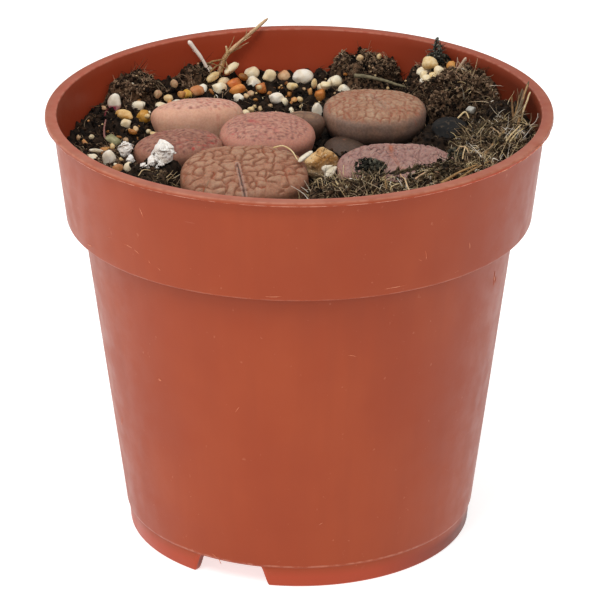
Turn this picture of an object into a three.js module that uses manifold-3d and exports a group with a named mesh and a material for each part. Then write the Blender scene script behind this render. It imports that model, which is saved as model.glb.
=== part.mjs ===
// A clump of living stones in its plastic nursery pot, with soil, stones, grit and dry straws.
// Millimetres, +Z up. The origin is the centre of the pot's foot, on the surface that it stands on.
// The front of the object, as it is usually looked at, faces -Y.

import * as THREE from "three";
import { mergeVertices } from "three/addons/utils/BufferGeometryUtils.js";
import Module from "manifold-3d";

const wasm = await Module();
wasm.setup();

const { degToRad, mapLinear, smoothstep } = THREE.MathUtils;
const fullTurn = 2 * Math.PI;

// Clearance between any two pieces that touch on the real thing.
const gap = 0.3;

// The pot: radii and heights of its outside, and its thin moulded wall.
const pot = {
  segments: 64,
  height: 74.4,
  lipRadius: 42.5,
  lipThickness: 0.7,
  lipRound: 0.3,
  collarTopRadius: 41.2,
  collarFootRadius: 39.2,
  ledgeHeight: 56.2,
  ledgeRound: 0.4,
  bodyTopRadius: 36.5,
  bodyFootRadius: 29.95,
  footHeight: 3.7,
  footTopRadius: 29.6,
  footRadius: 29.3,
  footInnerTopRadius: 27.6,
  footInnerRadius: 27.9,
  wall: 0.75,
  floorThickness: 1.2,
};

// Three notches in the foot ring and the drainage holes in the floor, all at thirds of a turn.
const notch = { firstAngle: 246.5, halfWidthBottom: 6.9, halfWidthTop: 5.5, below: 1, length: 8 };
const drain = { radius: 3.6, ringRadius: 18, sides: 16 };

// The soil: its general level, and how it climbs to the pot's wall at the back and at the left.
const soil = {
  level: 64.3,
  rearRise: 2.2,
  leftRise: 1.2,
  slope: { from: 24, to: 38 },
  lump: 0.45,
  ringStep: 2.3,
  sidesPerRing: 5,
};

// Clods and banks raised from the soil: place, half width, half depth and height above the general level.
const clods = [
  { at: [-31, 25.8], half: [8, 6], height: 6.8 },
  { at: [-23.5, 31], half: [4, 5], height: 3.6 },
  { at: [-18.5, 34.5], half: [5.5, 4], height: 5 },
  { at: [12, 36.5], half: [7.5, 5], height: 6.2 },
  { at: [22.5, 29], half: [5, 5], height: 6.4 },
  { at: [28.5, 24], half: [9.5, 8.5], height: 7.4 },
  { at: [35.5, 12], half: [6.5, 9], height: 5.6 },
  { at: [35, -3], half: [10, 11], height: 6 },
  { at: [27, -21], half: [13, 11], height: 7.8 },
  { at: [10, -31.5], half: [13, 7.5], height: 8 },
  { at: [25.5, 9.5], half: [6.5, 6], height: 2.4 },
  { at: [-34, -4], half: [9, 12], height: 2.4 },
  { at: [-22.8, -9.6], half: [4.5, 4], height: 4.4 },
  { at: [-25.5, -13.5], half: [6, 6], height: 3.9 },
  { at: [-18, -30], half: [15, 9], height: 4 },
];

// Heads: the face's centre and size, the turn of its long axis, how far it leans to the front (degrees),
// its net (mean size of an island, groove depth, and the share of the face that it covers), and its
// fissure.
const heads = [
  {
    name: "head_front",
    at: [-9, -14.6, 70.3],
    size: [21, 16.4],
    turn: 4,
    lean: 12,
    round: 2.6,
    step: 0.68,
    net: { cell: 2.3, depth: 0.5, reach: 0.98 },
    fissure: { depth: 0.7, width: 0.5, reach: 0.45, offset: -0.6 },
    color: "#96644f",
  },
  {
    name: "head_front_right",
    at: [16.2, -12, 70.7],
    size: [20, 17],
    turn: -2,
    lean: 3,
    round: 2.6,
    net: { cell: 2.6, depth: 0.42, reach: 0.92 },
    fissure: { depth: 0.8, width: 0.6, reach: 0.6, offset: 0.6 },
    color: "#9a6463",
  },
  {
    name: "head_centre",
    at: [-5.4, 4.4, 70.5],
    size: [16.2, 12.4],
    turn: 3,
    lean: 8,
    round: 3,
    net: { cell: 2.3, depth: 0.32, reach: 0.85 },
    fissure: { depth: 0.5, width: 0.5, reach: 0.5, offset: 0 },
    color: "#a5655e",
  },
  {
    name: "head_rear_right",
    at: [12.9, 15.2, 70.4],
    size: [17.7, 15],
    turn: -2,
    lean: 4.5,
    round: 2.6,
    net: { cell: 2.5, depth: 0.45, reach: 0.9 },
    fissure: { depth: 0.6, width: 0.5, reach: 0.5, offset: 0.4 },
    lobe: { at: [8.6, 8.2, 65.8], size: [8, 8], turn: 20 },
    color: "#8b6655",
  },
  {
    name: "head_rear_left",
    at: [-17.4, 15.4, 70.2],
    size: [16.5, 10],
    turn: 22,
    lean: -12,
    round: 3,
    net: { cell: 2.4, depth: 0.22, reach: 0.7 },
    fissure: { depth: 0.4, width: 0.5, reach: 0.5, offset: 0 },
    color: "#a87868",
  },
  {
    name: "head_left",
    at: [-20.3, -0.6, 70],
    size: [15.4, 10],
    turn: 21,
    lean: 3,
    round: 3,
    net: { cell: 2.4, depth: 0.32, reach: 0.85 },
    fissure: { depth: 0.4, width: 0.5, reach: 0.5, offset: 0 },
    color: "#985f56",
  },
  {
    name: "head_small",
    at: [0.9, 12, 69],
    size: [7.2, 4.8],
    turn: -15,
    lean: 0,
    round: 1.8,
    net: { cell: 2.4, depth: 0.2, reach: 0.8 },
    fissure: { depth: 0.3, width: 0.4, reach: 0.4, offset: 0 },
    color: "#7d6153",
  },
];

// A head's form: how square its outline is, how its face rounds over to its side, and how its side narrows
// to the root. Each waist gives a depth below the face as a share of the whole depth, the radius there as a
// share of the widest, and its share of the face's outermost ring of points.
const headForm = {
  squareness: 2.25,
  dentDepth: 0.03,
  dentWidth: 0.14,
  faceBulge: 2.4,
  edgeBulge: 2.6,
  faceEdge: 0.93,
  step: 0.95,
  shoulder: 0.985,
  depthPerWidth: 0.72,
  leastBody: 5,
  waists: [
    [0.26, 1, 0.85],
    [0.42, 0.93, 0.65],
    [0.58, 0.81, 0.5],
    [0.75, 0.61, 0.35],
    [0.9, 0.38, 0.25],
  ],
  pocketWaists: [
    [0.45, 1],
    [0.78, 0.8],
    [1, 0.42],
  ],
  pocketSides: 16,
  pocketTop: 9,
  pocketGrowth: 1.035,
};

// How narrow the grooves of a net are, from 1 for islands that are domed all over, how far an island's
// middle may stray, and the shares over which the net fades out at its reach and the fissure at its ends.
const netForm = { sharpness: 1.6, stray: 0.7, fade: 0.08, fissureFade: 0.1 };

// Grains: how much of the height the centre lies above the soil, how high the dimple is cut, and for each
// kind the points in each ring from top to bottom, how uneven it is, its gloss and the sides of its dimple.
const grainForm = {
  showing: 1 / 6,
  pocketTop: 3,
  stone: { sides: [8, 12, 14, 12, 8], rough: 0.12, roughness: 0.8, pocketSides: 10 },
  grit: { sides: [6, 8, 6], rough: 0.14, roughness: 0.7, pocketSides: 6 },
  crumb: { sides: [7, 10, 10, 7], rough: 0.3, roughness: 0.95, pocketSides: 8 },
};

// Larger stones: centre, size, turn, tilt to the front (degrees) and colour.
const stones = [
  {
    name: "sandstone_pebble",
    at: [3.6, -6.6, 67.4],
    size: [6.9, 5.2, 5.6],
    turn: 20,
    tilt: 10,
    color: "#a3753f",
  },
  {
    name: "white_pebble",
    at: [4.6, -11.8, 68.3],
    size: [2.8, 2.2, 2.2],
    turn: 30,
    color: "#cfc8b6",
  },
  {
    name: "slate_stone",
    at: [25.5, 9.8, 67.2],
    size: [6.4, 6.8, 2.6],
    turn: 15,
    tilt: 12,
    color: "#3d4246",
  },
];

// Loose grit: place, size and turn. Each grain lies a third of its height deep in the soil.
const creamColor = "#cdbd97";
const creamGrit = [
  { at: [-8.4, 37], size: [3, 2.7, 2.6], turn: 10 },
  { at: [-8.1, 34.5], size: [2.7, 2.4, 2.1], turn: 40 },
  { at: [-5.2, 35.6], size: [2.8, 2.6, 2.6], turn: 0 },
  { at: [0.6, 35.6], size: [4.1, 3, 2.9], turn: 5 },
  { at: [-14, 31.2], size: [3, 2.5, 2.2], turn: 25 },
  { at: [-17, 30.6], size: [2.8, 2.4, 2], turn: 60 },
  { at: [-13.5, 33.7], size: [3.6, 1.8, 1.8], turn: 50 },
  { at: [-21.2, 23.6], size: [2.9, 2.4, 2], turn: 10 },
  { at: [-23.9, 21.8], size: [2.2, 2, 1.6], turn: 0 },
  { at: [-27.7, 20.6], size: [3.2, 2.2, 1.8], turn: 15 },
  { at: [-29.6, 13.4], size: [2.2, 1.9, 1.7], turn: 30 },
  { at: [-4, 29.2], size: [3, 2.5, 2], turn: 8 },
  { at: [6.2, 34.2], size: [2.9, 2.6, 2.6], turn: 30 },
  { at: [8, 31.8], size: [2.6, 2.4, 2], turn: 0 },
  { at: [4.1, 33.2], size: [2.6, 2.2, 1.9], turn: 0 },
  { at: [3.2, 24], size: [2, 2, 3.4], turn: 0 },
  { at: [21.7, 28.3], size: [2.9, 2.4, 2.5], turn: 0 },
  { at: [21.6, 25.4], size: [2.1, 1.9, 2.1], turn: 0 },
  { at: [24.2, 25.8], size: [2.2, 2.1, 2.1], turn: 20 },
  { at: [-31.6, -5], size: [2.4, 2.2, 3.4], turn: 0 },
  { at: [-34.4, -4.4], size: [2.7, 2.1, 1.5], turn: 0 },
  { at: [-10.7, 28.6], size: [2.2, 1.9, 1.8], turn: 30 },
  { at: [-27.9, -11.3], size: [2.2, 1.8, 2.2], turn: 0 },
];
const orangeGrit = [
  { at: [-2.7, 37.2], size: [2.5, 2.2, 2.2], turn: 0, color: "#c98f52" },
  { at: [-11.4, 33.2], size: [2.8, 2.4, 2.4], turn: 30, color: "#bd6427" },
  { at: [-10.9, 31.3], size: [3.2, 2.4, 2.1], turn: 15, color: "#c06a26" },
  { at: [-19.6, 26.8], size: [2.1, 2, 2.2], turn: 0, color: "#cf9a35" },
  { at: [-17.9, 28.2], size: [2.9, 2.1, 1.8], turn: 5, color: "#bd7440" },
  { at: [-30.2, 15.8], size: [4, 2.1, 2], turn: -20, color: "#c08a45" },
  { at: [-26.8, 17.4], size: [2.7, 2.4, 2.7], turn: 0, color: "#b9822c" },
  { at: [-6.7, 32], size: [2.5, 2.1, 2.4], turn: -40, color: "#b5622c" },
  { at: [3.7, 30.4], size: [2.1, 2, 2.6], turn: 0, color: "#b9672a" },
  { at: [26.4, 27.4], size: [1.9, 1.8, 1.8], turn: 0, color: "#bd7c34" },
  { at: [-30, -9], size: [2.1, 1.8, 1.7], turn: 0, color: "#b06e3a" },
];
const stainedGrit = { at: [-31.9, 19.8], size: [2.5, 2.3, 3.1], turn: 0 };

// Small flaky crumbs and the dark peat crumb that lies on a head: centre, size and turn.
const crumbs = [
  { name: "white_crumb_left", at: [-29, -3, 68.3], size: [3.2, 2.6, 2.8], turn: 20, color: "#c9c5bd" },
  { name: "white_crumb_right", at: [-22.6, -9.6, 70.2], size: [4.8, 3.6, 4], turn: -10, color: "#cfccc6" },
  { name: "peat_crumb", at: [11.8, -18.4, 71.2], size: [5.8, 4, 2.8], turn: 10, color: "#2a241f" },
];

// Straws: points from the root up, radius, and where it has one, a side shoot.
const straws = [
  {
    name: "white_straw",
    points: [[-15.5, 33.9, 67.6], [-16.7, 33.8, 71], [-19.4, 34, 74.4]],
    radius: 0.4,
    color: "#a8998c",
  },
  {
    name: "dry_stalk",
    shoot: [[-12.4, 36.8, 71.2], [-12.5, 37.1, 72.4], [-12.7, 37.2, 73.8]],
    points: [
      [-14.2, 34.8, 68],
      [-13.2, 36.6, 70.6],
      [-11.2, 37.4, 72.6],
      [-8.2, 38.6, 75],
      [-5.9, 40.6, 76.4],
    ],
    radius: 0.5,
    color: "#a98560",
  },
  {
    name: "short_straw",
    points: [[26.6, 28.6, 68.6], [27, 28.4, 70.4], [28.3, 27.4, 72.8]],
    radius: 0.4,
    color: "#9a7f66",
  },
  {
    name: "right_straw_long",
    points: [[35.6, 1.2, 69], [36.3, 3.6, 71.2], [37.3, 5.6, 72.8], [38.8, 10, 75.6]],
    radius: 0.45,
    color: "#a5815a",
  },
  {
    name: "right_straw_short",
    points: [[36.2, 5.6, 69.2], [36.9, 7.8, 72], [37.8, 9.8, 74.4]],
    radius: 0.4,
    color: "#8a6a4a",
  },
];
const strawForm = { sides: 6, stepsPerSpan: 2, shootShare: 0.8 };

// The stump of an old root, with the radius as a share of the widest at shares of its height.
const spike = {
  name: "dark_spike",
  at: [23.9, 29.6],
  base: 69.8,
  top: 76.8,
  radius: 1.2,
  levels: [[0.8, 0.4], [0.6, 0.45], [0.45, 0.8], [0.2, 1], [0.02, 0.8]],
  sides: 8,
  ragged: 0.2,
  color: "#3b3632",
};

// Repeatable random number from 0 to 1 for a pair of whole numbers and a seed.
function hash(i, j, seed) {
  const s = Math.sin(i * 127.1 + j * 311.7 + seed * 74.7) * 43758.5453;
  return s - Math.floor(s);
}

// Closed surface from rings of points, each ring running anticlockwise seen from above, from top to bottom,
// with a pole at both ends. Neighbouring rings may have different numbers of points.
function ringSolid(topPole, rings, bottomPole) {
  const points = [];
  const faces = [];
  const add = (p) => points.push(p) - 1;
  let upper = [add(topPole)];
  for (const ring of [...rings, [bottomPole]]) {
    const lower = ring.map(add);
    stitch(upper, lower, faces);
    upper = lower;
  }
  const geometry = new THREE.BufferGeometry();
  geometry.setAttribute("position", new THREE.Float32BufferAttribute(points.flat(), 3));
  geometry.setIndex(faces);
  return geometry;
}

// Triangles between two rings, always stepping along the ring whose next point comes first round the turn.
function stitch(upper, lower, faces) {
  const upperCount = upper.length > 1 ? upper.length : 0;
  const lowerCount = lower.length > 1 ? lower.length : 0;
  let i = 0;
  let j = 0;
  while (i < upperCount || j < lowerCount) {
    const a = upper[i % upper.length];
    const b = lower[j % lower.length];
    const stepUpper = j >= lowerCount || (i < upperCount && (i + 1) / upperCount < (j + 1) / lowerCount);
    if (stepUpper) {
      i += 1;
      faces.push(a, b, upper[i % upper.length]);
    } else {
      j += 1;
      faces.push(a, b, lower[j % lower.length]);
    }
  }
}

// A ring of points round +Z, from functions of the angle for its radius and height.
function ring(count, radiusAt, heightAt) {
  return Array.from({ length: count }, (_, k) => {
    const angle = (fullTurn * k) / count;
    const radius = radiusAt(angle);
    const x = radius * Math.cos(angle);
    const y = radius * Math.sin(angle);
    return [x, y, heightAt(x, y, angle)];
  });
}

function toManifold(geometry) {
  const plain = geometry.clone();
  plain.deleteAttribute("normal");
  plain.deleteAttribute("uv");
  const merged = mergeVertices(plain, 1e-4);
  return new wasm.Manifold(
    new wasm.Mesh({
      numProp: 3,
      vertProperties: new Float32Array(merged.attributes.position.array),
      triVerts: new Uint32Array(merged.index.array),
    })
  );
}

function toGeometry(manifold) {
  const mesh = manifold.getMesh();
  const geometry = new THREE.BufferGeometry();
  geometry.setAttribute("position", new THREE.BufferAttribute(mesh.vertProperties, 3));
  geometry.setIndex(new THREE.BufferAttribute(mesh.triVerts, 1));
  return geometry;
}

function named(name, geometry, color, roughness = 0.8) {
  geometry.computeVertexNormals();
  const mesh = new THREE.Mesh(geometry, new THREE.MeshStandardMaterial({ color, roughness, metalness: 0 }));
  mesh.name = name;
  return mesh;
}

// Inside of the pot's wall: the radius of the collar and of the body at a height.
function collarInside(z) {
  const foot = pot.ledgeHeight + pot.wall;
  const top = pot.height - pot.lipThickness;
  return mapLinear(z, foot, top, pot.collarFootRadius - pot.wall, pot.collarTopRadius - pot.wall);
}

function bodyInside(z) {
  const foot = pot.bodyFootRadius - pot.wall;
  const top = pot.bodyTopRadius - pot.wall;
  return mapLinear(z, pot.footHeight, pot.ledgeHeight, foot, top);
}

// The pot is a lathe of its wall section, then the foot ring is notched and the floor is drilled.
function makePot() {
  const p = pot;
  const floorTop = p.footHeight + p.floorThickness;
  const ledgeTop = p.ledgeHeight + p.wall;
  const lipBottom = p.height - p.lipThickness;
  const section = [
    [0, p.footHeight],
    [p.footInnerTopRadius, p.footHeight],
    [p.footInnerRadius, 0],
    [p.footRadius, 0],
    [p.footTopRadius, p.footHeight],
    [p.bodyFootRadius, p.footHeight + p.lipRound],
    [p.bodyTopRadius, p.ledgeHeight],
    [p.collarFootRadius - p.ledgeRound, p.ledgeHeight],
    [p.collarFootRadius, p.ledgeHeight + p.ledgeRound],
    [p.collarTopRadius, lipBottom],
    [p.lipRadius - p.lipRound / 2, lipBottom],
    [p.lipRadius, lipBottom + p.lipRound],
    [p.lipRadius - p.lipRound, p.height],
    [p.collarTopRadius - p.wall + p.lipRound, p.height],
    [p.collarTopRadius - p.wall, lipBottom],
    [p.collarFootRadius - p.wall, ledgeTop],
    [bodyInside(ledgeTop), ledgeTop],
    [bodyInside(floorTop), floorTop],
    [0, floorTop],
  ];
  const lathe = new THREE.LatheGeometry(section.map(([r, z]) => new THREE.Vector2(r, z)), p.segments);
  lathe.rotateX(Math.PI / 2);
  let body = toManifold(lathe);
  for (const third of [0, 120, 240]) {
    body = body.subtract(notchCutter(notch.firstAngle + third));
    body = body.subtract(drainCutter(drain.ringRadius, notch.firstAngle + third));
  }
  body = body.subtract(drainCutter(0, 0));
  return named("pot", toGeometry(body), "#a9543a", 0.45);
}

// A trapezoid bar that runs out through the foot ring, wider at the bottom.
function notchCutter(angle) {
  const { halfWidthBottom, halfWidthTop, below, length } = notch;
  const flare = ((halfWidthBottom - halfWidthTop) / pot.footHeight) * below;
  const outline = new THREE.Shape();
  outline.moveTo(-halfWidthBottom - flare, -below);
  outline.lineTo(halfWidthBottom + flare, -below);
  outline.lineTo(halfWidthTop, pot.footHeight);
  outline.lineTo(-halfWidthTop, pot.footHeight);
  outline.closePath();
  const bar = new THREE.ExtrudeGeometry(outline, { depth: length, bevelEnabled: false });
  // The outline stands up in XZ and the bar runs out along -Y, then it turns to its place.
  bar.rotateX(Math.PI / 2);
  bar.translate(0, length / 2 - pot.footInnerTopRadius, 0);
  bar.rotateZ(degToRad(angle + 90));
  return toManifold(bar);
}

function drainCutter(distance, angle) {
  const hole = new THREE.CylinderGeometry(drain.radius, drain.radius, 4 * pot.floorThickness, drain.sides);
  hole.rotateX(Math.PI / 2);
  const turn = degToRad(angle);
  hole.translate(distance * Math.cos(turn), distance * Math.sin(turn), pot.footHeight);
  return toManifold(hole);
}

// Small lumps a few millimetres across, from two crossed pairs of waves, between -2 and 2.
function lumps(x, y) {
  const wide = Math.sin(1.7 * x + 0.9 * y) * Math.sin(1.3 * y - 0.8 * x);
  const fine = Math.sin(2.9 * x + 1) * Math.sin(2.6 * y);
  return wide + fine;
}

// Height of the soil: its level, its climb towards the wall, the clods, and small lumps all over.
function soilHeight(x, y) {
  const nearWall = smoothstep(Math.hypot(x, y), soil.slope.from, soil.slope.to);
  const climb = soil.rearRise * smoothstep(y, -10, 20) + soil.leftRise * smoothstep(-x, 5, 30);
  let height = soil.level + nearWall * climb;
  for (const { at, half, height: top } of clods) {
    const away = ((x - at[0]) / half[0]) ** 2 + ((y - at[1]) / half[1]) ** 2;
    if (away < 1) height = Math.max(height, soil.level + top * (1 - away ** 2));
  }
  return height + soil.lump * lumps(x, y);
}

// The soil is a ball of rings from the middle of its top, out to the wall, down past the ledge and in
// under.
function makeSoil(pockets) {
  const floorTop = pot.footHeight + pot.floorThickness + gap;
  const ledgeTop = pot.ledgeHeight + pot.wall + gap;
  const wallAt = (angle) => {
    const nominal = pot.collarTopRadius - 2 * pot.wall;
    const height = soilHeight(nominal * Math.cos(angle), nominal * Math.sin(angle));
    return collarInside(height) - gap;
  };
  const count = Math.round(pot.collarFootRadius / soil.ringStep);
  const rings = [];
  for (let k = 1; k <= count; k += 1) {
    rings.push(ring(soil.sidesPerRing * k, (angle) => (wallAt(angle) * k) / count, soilHeight));
  }
  rings.push(ring(pot.segments, () => collarInside(ledgeTop) - gap, () => ledgeTop));
  rings.push(ring(pot.segments, () => bodyInside(ledgeTop) - gap, () => ledgeTop));
  rings.push(ring(pot.segments, () => bodyInside(floorTop) - gap, () => floorTop));
  let body = toManifold(ringSolid([0, 0, soilHeight(0, 0)], rings, [0, 0, floorTop]));
  for (const pocket of pockets) body = body.subtract(pocket);
  return named("soil", toGeometry(largest(body)), "#35291f", 1);
}

// The biggest of a solid's separate bodies.
function largest(solid) {
  const bodies = solid.decompose();
  return bodies.reduce((best, next) => (next.volume() > best.volume() ? next : best));
}

// Distance to the nearest groove of an uneven net of islands, as a share of an island: 0 in the groove.
function netDistance(x, y, cell, seed) {
  const column = Math.floor(x / cell);
  const row = Math.floor(y / cell);
  const least = (1 - netForm.stray) / 2;
  let nearest = Infinity;
  let second = Infinity;
  for (let i = column - 1; i <= column + 1; i += 1) {
    for (let j = row - 1; j <= row + 1; j += 1) {
      const dx = (i + least + netForm.stray * hash(i, j, seed)) * cell - x;
      const dy = (j + least + netForm.stray * hash(i, j, seed + 1)) * cell - y;
      const distance = Math.hypot(dx, dy);
      if (distance < nearest) [nearest, second] = [distance, nearest];
      else if (distance < second) second = distance;
    }
  }
  return (second - nearest) / cell;
}

// Outline of a head: a slightly squared ellipse with a small dent at both ends of the fissure.
function headOutline([width, depth], angle) {
  const power = 2 / headForm.squareness;
  const c = Math.cos(angle);
  const s = Math.sin(angle);
  const dent = 1 - headForm.dentDepth * Math.exp(-((c / headForm.dentWidth) ** 2));
  const x = (width / 2) * dent * Math.sign(c) * Math.abs(c) ** power;
  const y = (depth / 2) * dent * Math.sign(s) * Math.abs(s) ** power;
  return [x, y];
}

// Depth of the face below its middle, at a share of the way out to the widest girth.
function faceDrop(share, round) {
  const { faceBulge, edgeBulge } = headForm;
  return round * (1 - (1 - share ** faceBulge) ** (1 / edgeBulge));
}

// Depth of a head's root below its face.
function headDepth({ size, round }) {
  return Math.max(headForm.depthPerWidth * size[0], round + headForm.leastBody);
}

// How far the net's grooves and the fissure sink the face at a place.
function faceRelief(head, share, x, y, seed) {
  const { net, fissure } = head;
  const { sharpness, fade, fissureFade } = netForm;
  const covered = 1 - smoothstep(share, net.reach - fade, net.reach + fade);
  const groove = Math.max(0, 1 - sharpness * netDistance(x, y, net.cell, seed));
  const way = Math.abs(y) / (head.size[1] / 2);
  const along = 1 - smoothstep(way, fissure.reach - fissureFade, fissure.reach + fissureFade);
  const across = (x - fissure.offset) / fissure.width;
  return -covered * net.depth * groove - along * fissure.depth * Math.exp(-across * across);
}

// A head about its face's centre, with the face up: rings of points over the face, then down its side to
// the root.
function headSolid(head, seed) {
  const [width, depth] = head.size;
  const below = headDepth(head);
  const girth = Math.sqrt(width * depth) / 2;
  const ringsOnFace = Math.round((headForm.faceEdge * girth) / (head.step ?? headForm.step));
  const outer = 6 * ringsOnFace;
  const faceRing = (count, share) =>
    Array.from({ length: count }, (_, k) => {
      const [x, y] = headOutline(head.size, (fullTurn * k) / count).map((v) => v * share);
      return [x, y, faceRelief(head, share, x, y, seed) - faceDrop(share, head.round)];
    });
  const sideRing = (count, share, down) =>
    Array.from({ length: count }, (_, k) => {
      const [x, y] = headOutline(head.size, (fullTurn * k) / count);
      return [x * share, y * share, -down];
    });
  const rings = [];
  for (let k = 1; k <= ringsOnFace; k += 1) {
    rings.push(faceRing(6 * k, (headForm.faceEdge * k) / ringsOnFace));
  }
  rings.push(faceRing(outer, headForm.shoulder));
  for (const [down, share, points] of headForm.waists) {
    rings.push(sideRing(Math.round(outer * points), share, Math.max(down * below, head.round)));
  }
  return ringSolid([0, 0, faceRelief(head, 0, 0, 0, seed)], rings, [0, 0, -below]);
}

// The plain hole that a head stands in, wider than the head by a clearance and open to the top.
function headPocket(head) {
  const below = headDepth(head);
  const sides = headForm.pocketSides;
  const grown = head.size.map((v) => (v + 2 * gap) * headForm.pocketGrowth);
  const pocketRing = (share, z) =>
    Array.from({ length: sides }, (_, k) => {
      const [x, y] = headOutline(grown, (fullTurn * k) / sides);
      return [x * share, y * share, z];
    });
  const waists = headForm.pocketWaists.map(([down, share]) => pocketRing(share, -down * below - gap));
  const top = pocketRing(1, headForm.pocketTop);
  return ringSolid([0, 0, headForm.pocketTop], [top, ...waists], [0, 0, -below - 2 * gap]);
}

function makeHead(head, seed) {
  let solid = toManifold(headSolid(head, seed));
  let pocket = toManifold(headPocket(head));
  if (head.lobe) {
    const lobe = { ...head, ...head.lobe };
    const move = lobe.at.map((v, axis) => v - head.at[axis]);
    solid = solid.add(placed(headSolid(lobe, seed + 5), move, lobe.turn - head.turn));
    pocket = pocket.add(placed(headPocket(lobe), move, lobe.turn - head.turn));
  }
  const mesh = named(head.name, toGeometry(solid), head.color, 0.75);
  mesh.position.set(...head.at);
  mesh.rotation.set(degToRad(head.lean), 0, degToRad(head.turn), "XYZ");
  return { mesh, pocket: pocketOf(mesh, pocket) };
}

function placed(geometry, move, turn) {
  geometry.rotateZ(degToRad(turn));
  geometry.translate(...move);
  return toManifold(geometry);
}

// A pocket made in its piece's own frame, turned and moved as the piece is.
function pocketOf(mesh, pocket) {
  mesh.updateMatrix();
  const geometry = toGeometry(pocket);
  geometry.applyMatrix4(mesh.matrix);
  return toManifold(geometry);
}

// A rounded grain: flat-topped rings, each point pushed in or out a little. Longer in X before it is
// turned.
function grainSolid([length, width, height], seed, sides, rough) {
  const levels = sides.length;
  const rings = sides.map((count, level) => {
    const up = Math.cos((Math.PI * (level + 1)) / (levels + 1));
    const out = Math.sqrt(1 - up * up);
    return Array.from({ length: count }, (_, k) => {
      const angle = (fullTurn * (k + 0.5 * (level % 2))) / count;
      const share = (out * (1 - rough * hash(k, level, seed))) / 2;
      return [share * length * Math.cos(angle), share * width * Math.sin(angle), (up * height) / 2];
    });
  });
  return ringSolid([0, 0, (height / 2) * (1 - rough / 2)], rings, [0, 0, -height / 2]);
}

// The dimple that a grain lies in: a plain cone, open to the top.
function grainPocket([length, width, height], sides) {
  const grow = 1 / Math.cos(Math.PI / sides);
  const level = (share, z) =>
    Array.from({ length: sides }, (_, k) => {
      const angle = (fullTurn * k) / sides;
      const x = (length / 2 + gap) * grow * share * Math.cos(angle);
      const y = (width / 2 + gap) * grow * share * Math.sin(angle);
      return [x, y, z];
    });
  const top = height / 2 + grainForm.pocketTop;
  return ringSolid([0, 0, top], [level(1, top), level(1, 0)], [0, 0, -height - gap]);
}

// A loose grain or stone where it lies. Without a height of its own it lies on the soil, a little sunk in.
function makeGrain({ name, at, size, turn, tilt = 0, color }, seed, kind) {
  const mesh = named(name, grainSolid(size, seed, kind.sides, kind.rough), color, kind.roughness);
  const [x, y, z = soilHeight(x, y) + size[2] * grainForm.showing] = at;
  mesh.position.set(x, y, z);
  mesh.rotation.set(degToRad(tilt), 0, degToRad(turn), "XYZ");
  return { mesh, pocket: pocketOf(mesh, toManifold(grainPocket(size, kind.pocketSides))) };
}

// A round bar along a smooth curve through the points.
function tube(points, radius) {
  const outline = new THREE.Shape();
  for (let k = 0; k < strawForm.sides; k += 1) {
    const angle = (fullTurn * k) / strawForm.sides;
    const corner = [radius * Math.cos(angle), radius * Math.sin(angle)];
    if (k === 0) outline.moveTo(...corner);
    else outline.lineTo(...corner);
  }
  outline.closePath();
  const extrudePath = new THREE.CatmullRomCurve3(points.map((p) => new THREE.Vector3(...p)));
  const steps = strawForm.stepsPerSpan * (points.length - 1);
  return toManifold(new THREE.ExtrudeGeometry(outline, { extrudePath, steps, bevelEnabled: false }));
}

// A straw, and the round hole that it stands in, a little deeper and wider than the straw.
function makeStraw({ name, points, radius, shoot, color }) {
  let solid = tube(points, radius);
  if (shoot) solid = solid.add(tube(shoot, radius * strawForm.shootShare));
  const foot = new THREE.Vector3(...points[0]);
  const into = foot.clone().sub(new THREE.Vector3(...points[1])).setLength(2 * gap);
  const pocket = tube([foot.clone().add(into).toArray(), ...points], radius + 1.5 * gap);
  return { mesh: named(name, toGeometry(solid), color), pocket };
}

// The stump of an old root: a ragged cone of rings.
function makeSpike({ name, at, base, top, radius, levels, sides, ragged, color }) {
  const height = top - base;
  const rings = levels.map(([up, share]) => {
    const radiusAt = (angle) => radius * share * (1 + ragged * Math.sin(3 * angle + 9 * up));
    return ring(sides, radiusAt, () => up * height);
  });
  const mesh = named(name, ringSolid([0, 0, height], rings, [0, 0, 0]), color, 1);
  mesh.position.set(...at, base);
  const width = 2 * radius * (1 + ragged) + gap;
  const pocket = toManifold(grainPocket([width, width, 4 * gap], sides));
  return { mesh, pocket: pocketOf(mesh, pocket) };
}

function build() {
  const grits = [
    ...creamGrit.map((grain, k) => ({ name: numbered("grit_cream", k), color: creamColor, ...grain })),
    ...orangeGrit.map((grain, k) => ({ name: numbered("grit_orange", k), ...grain })),
    { name: "grit_stained", color: "#cfc6bd", ...stainedGrit },
  ];
  // Each kind draws its random numbers from its own run of seeds.
  const standing = [
    ...heads.map((head, k) => makeHead(head, 11 + 7 * k)),
    ...grits.map((grain, k) => makeGrain(grain, k, grainForm.grit)),
    ...crumbs.map((crumb, k) => makeGrain(crumb, 60 + k, grainForm.crumb)),
    ...stones.map((stone, k) => makeGrain(stone, 90 + k, grainForm.stone)),
    ...straws.map(makeStraw),
    makeSpike(spike),
  ];
  const whole = new THREE.Group();
  whole.add(makePot(), makeSoil(standing.map(({ pocket }) => pocket)));
  for (const { mesh } of standing) whole.add(mesh);
  return whole;
}

// A name with its number in the row, from 01.
function numbered(name, k) {
  return `${name}_${String(k + 1).padStart(2, "0")}`;
}

const group = build();

export default group;
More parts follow.
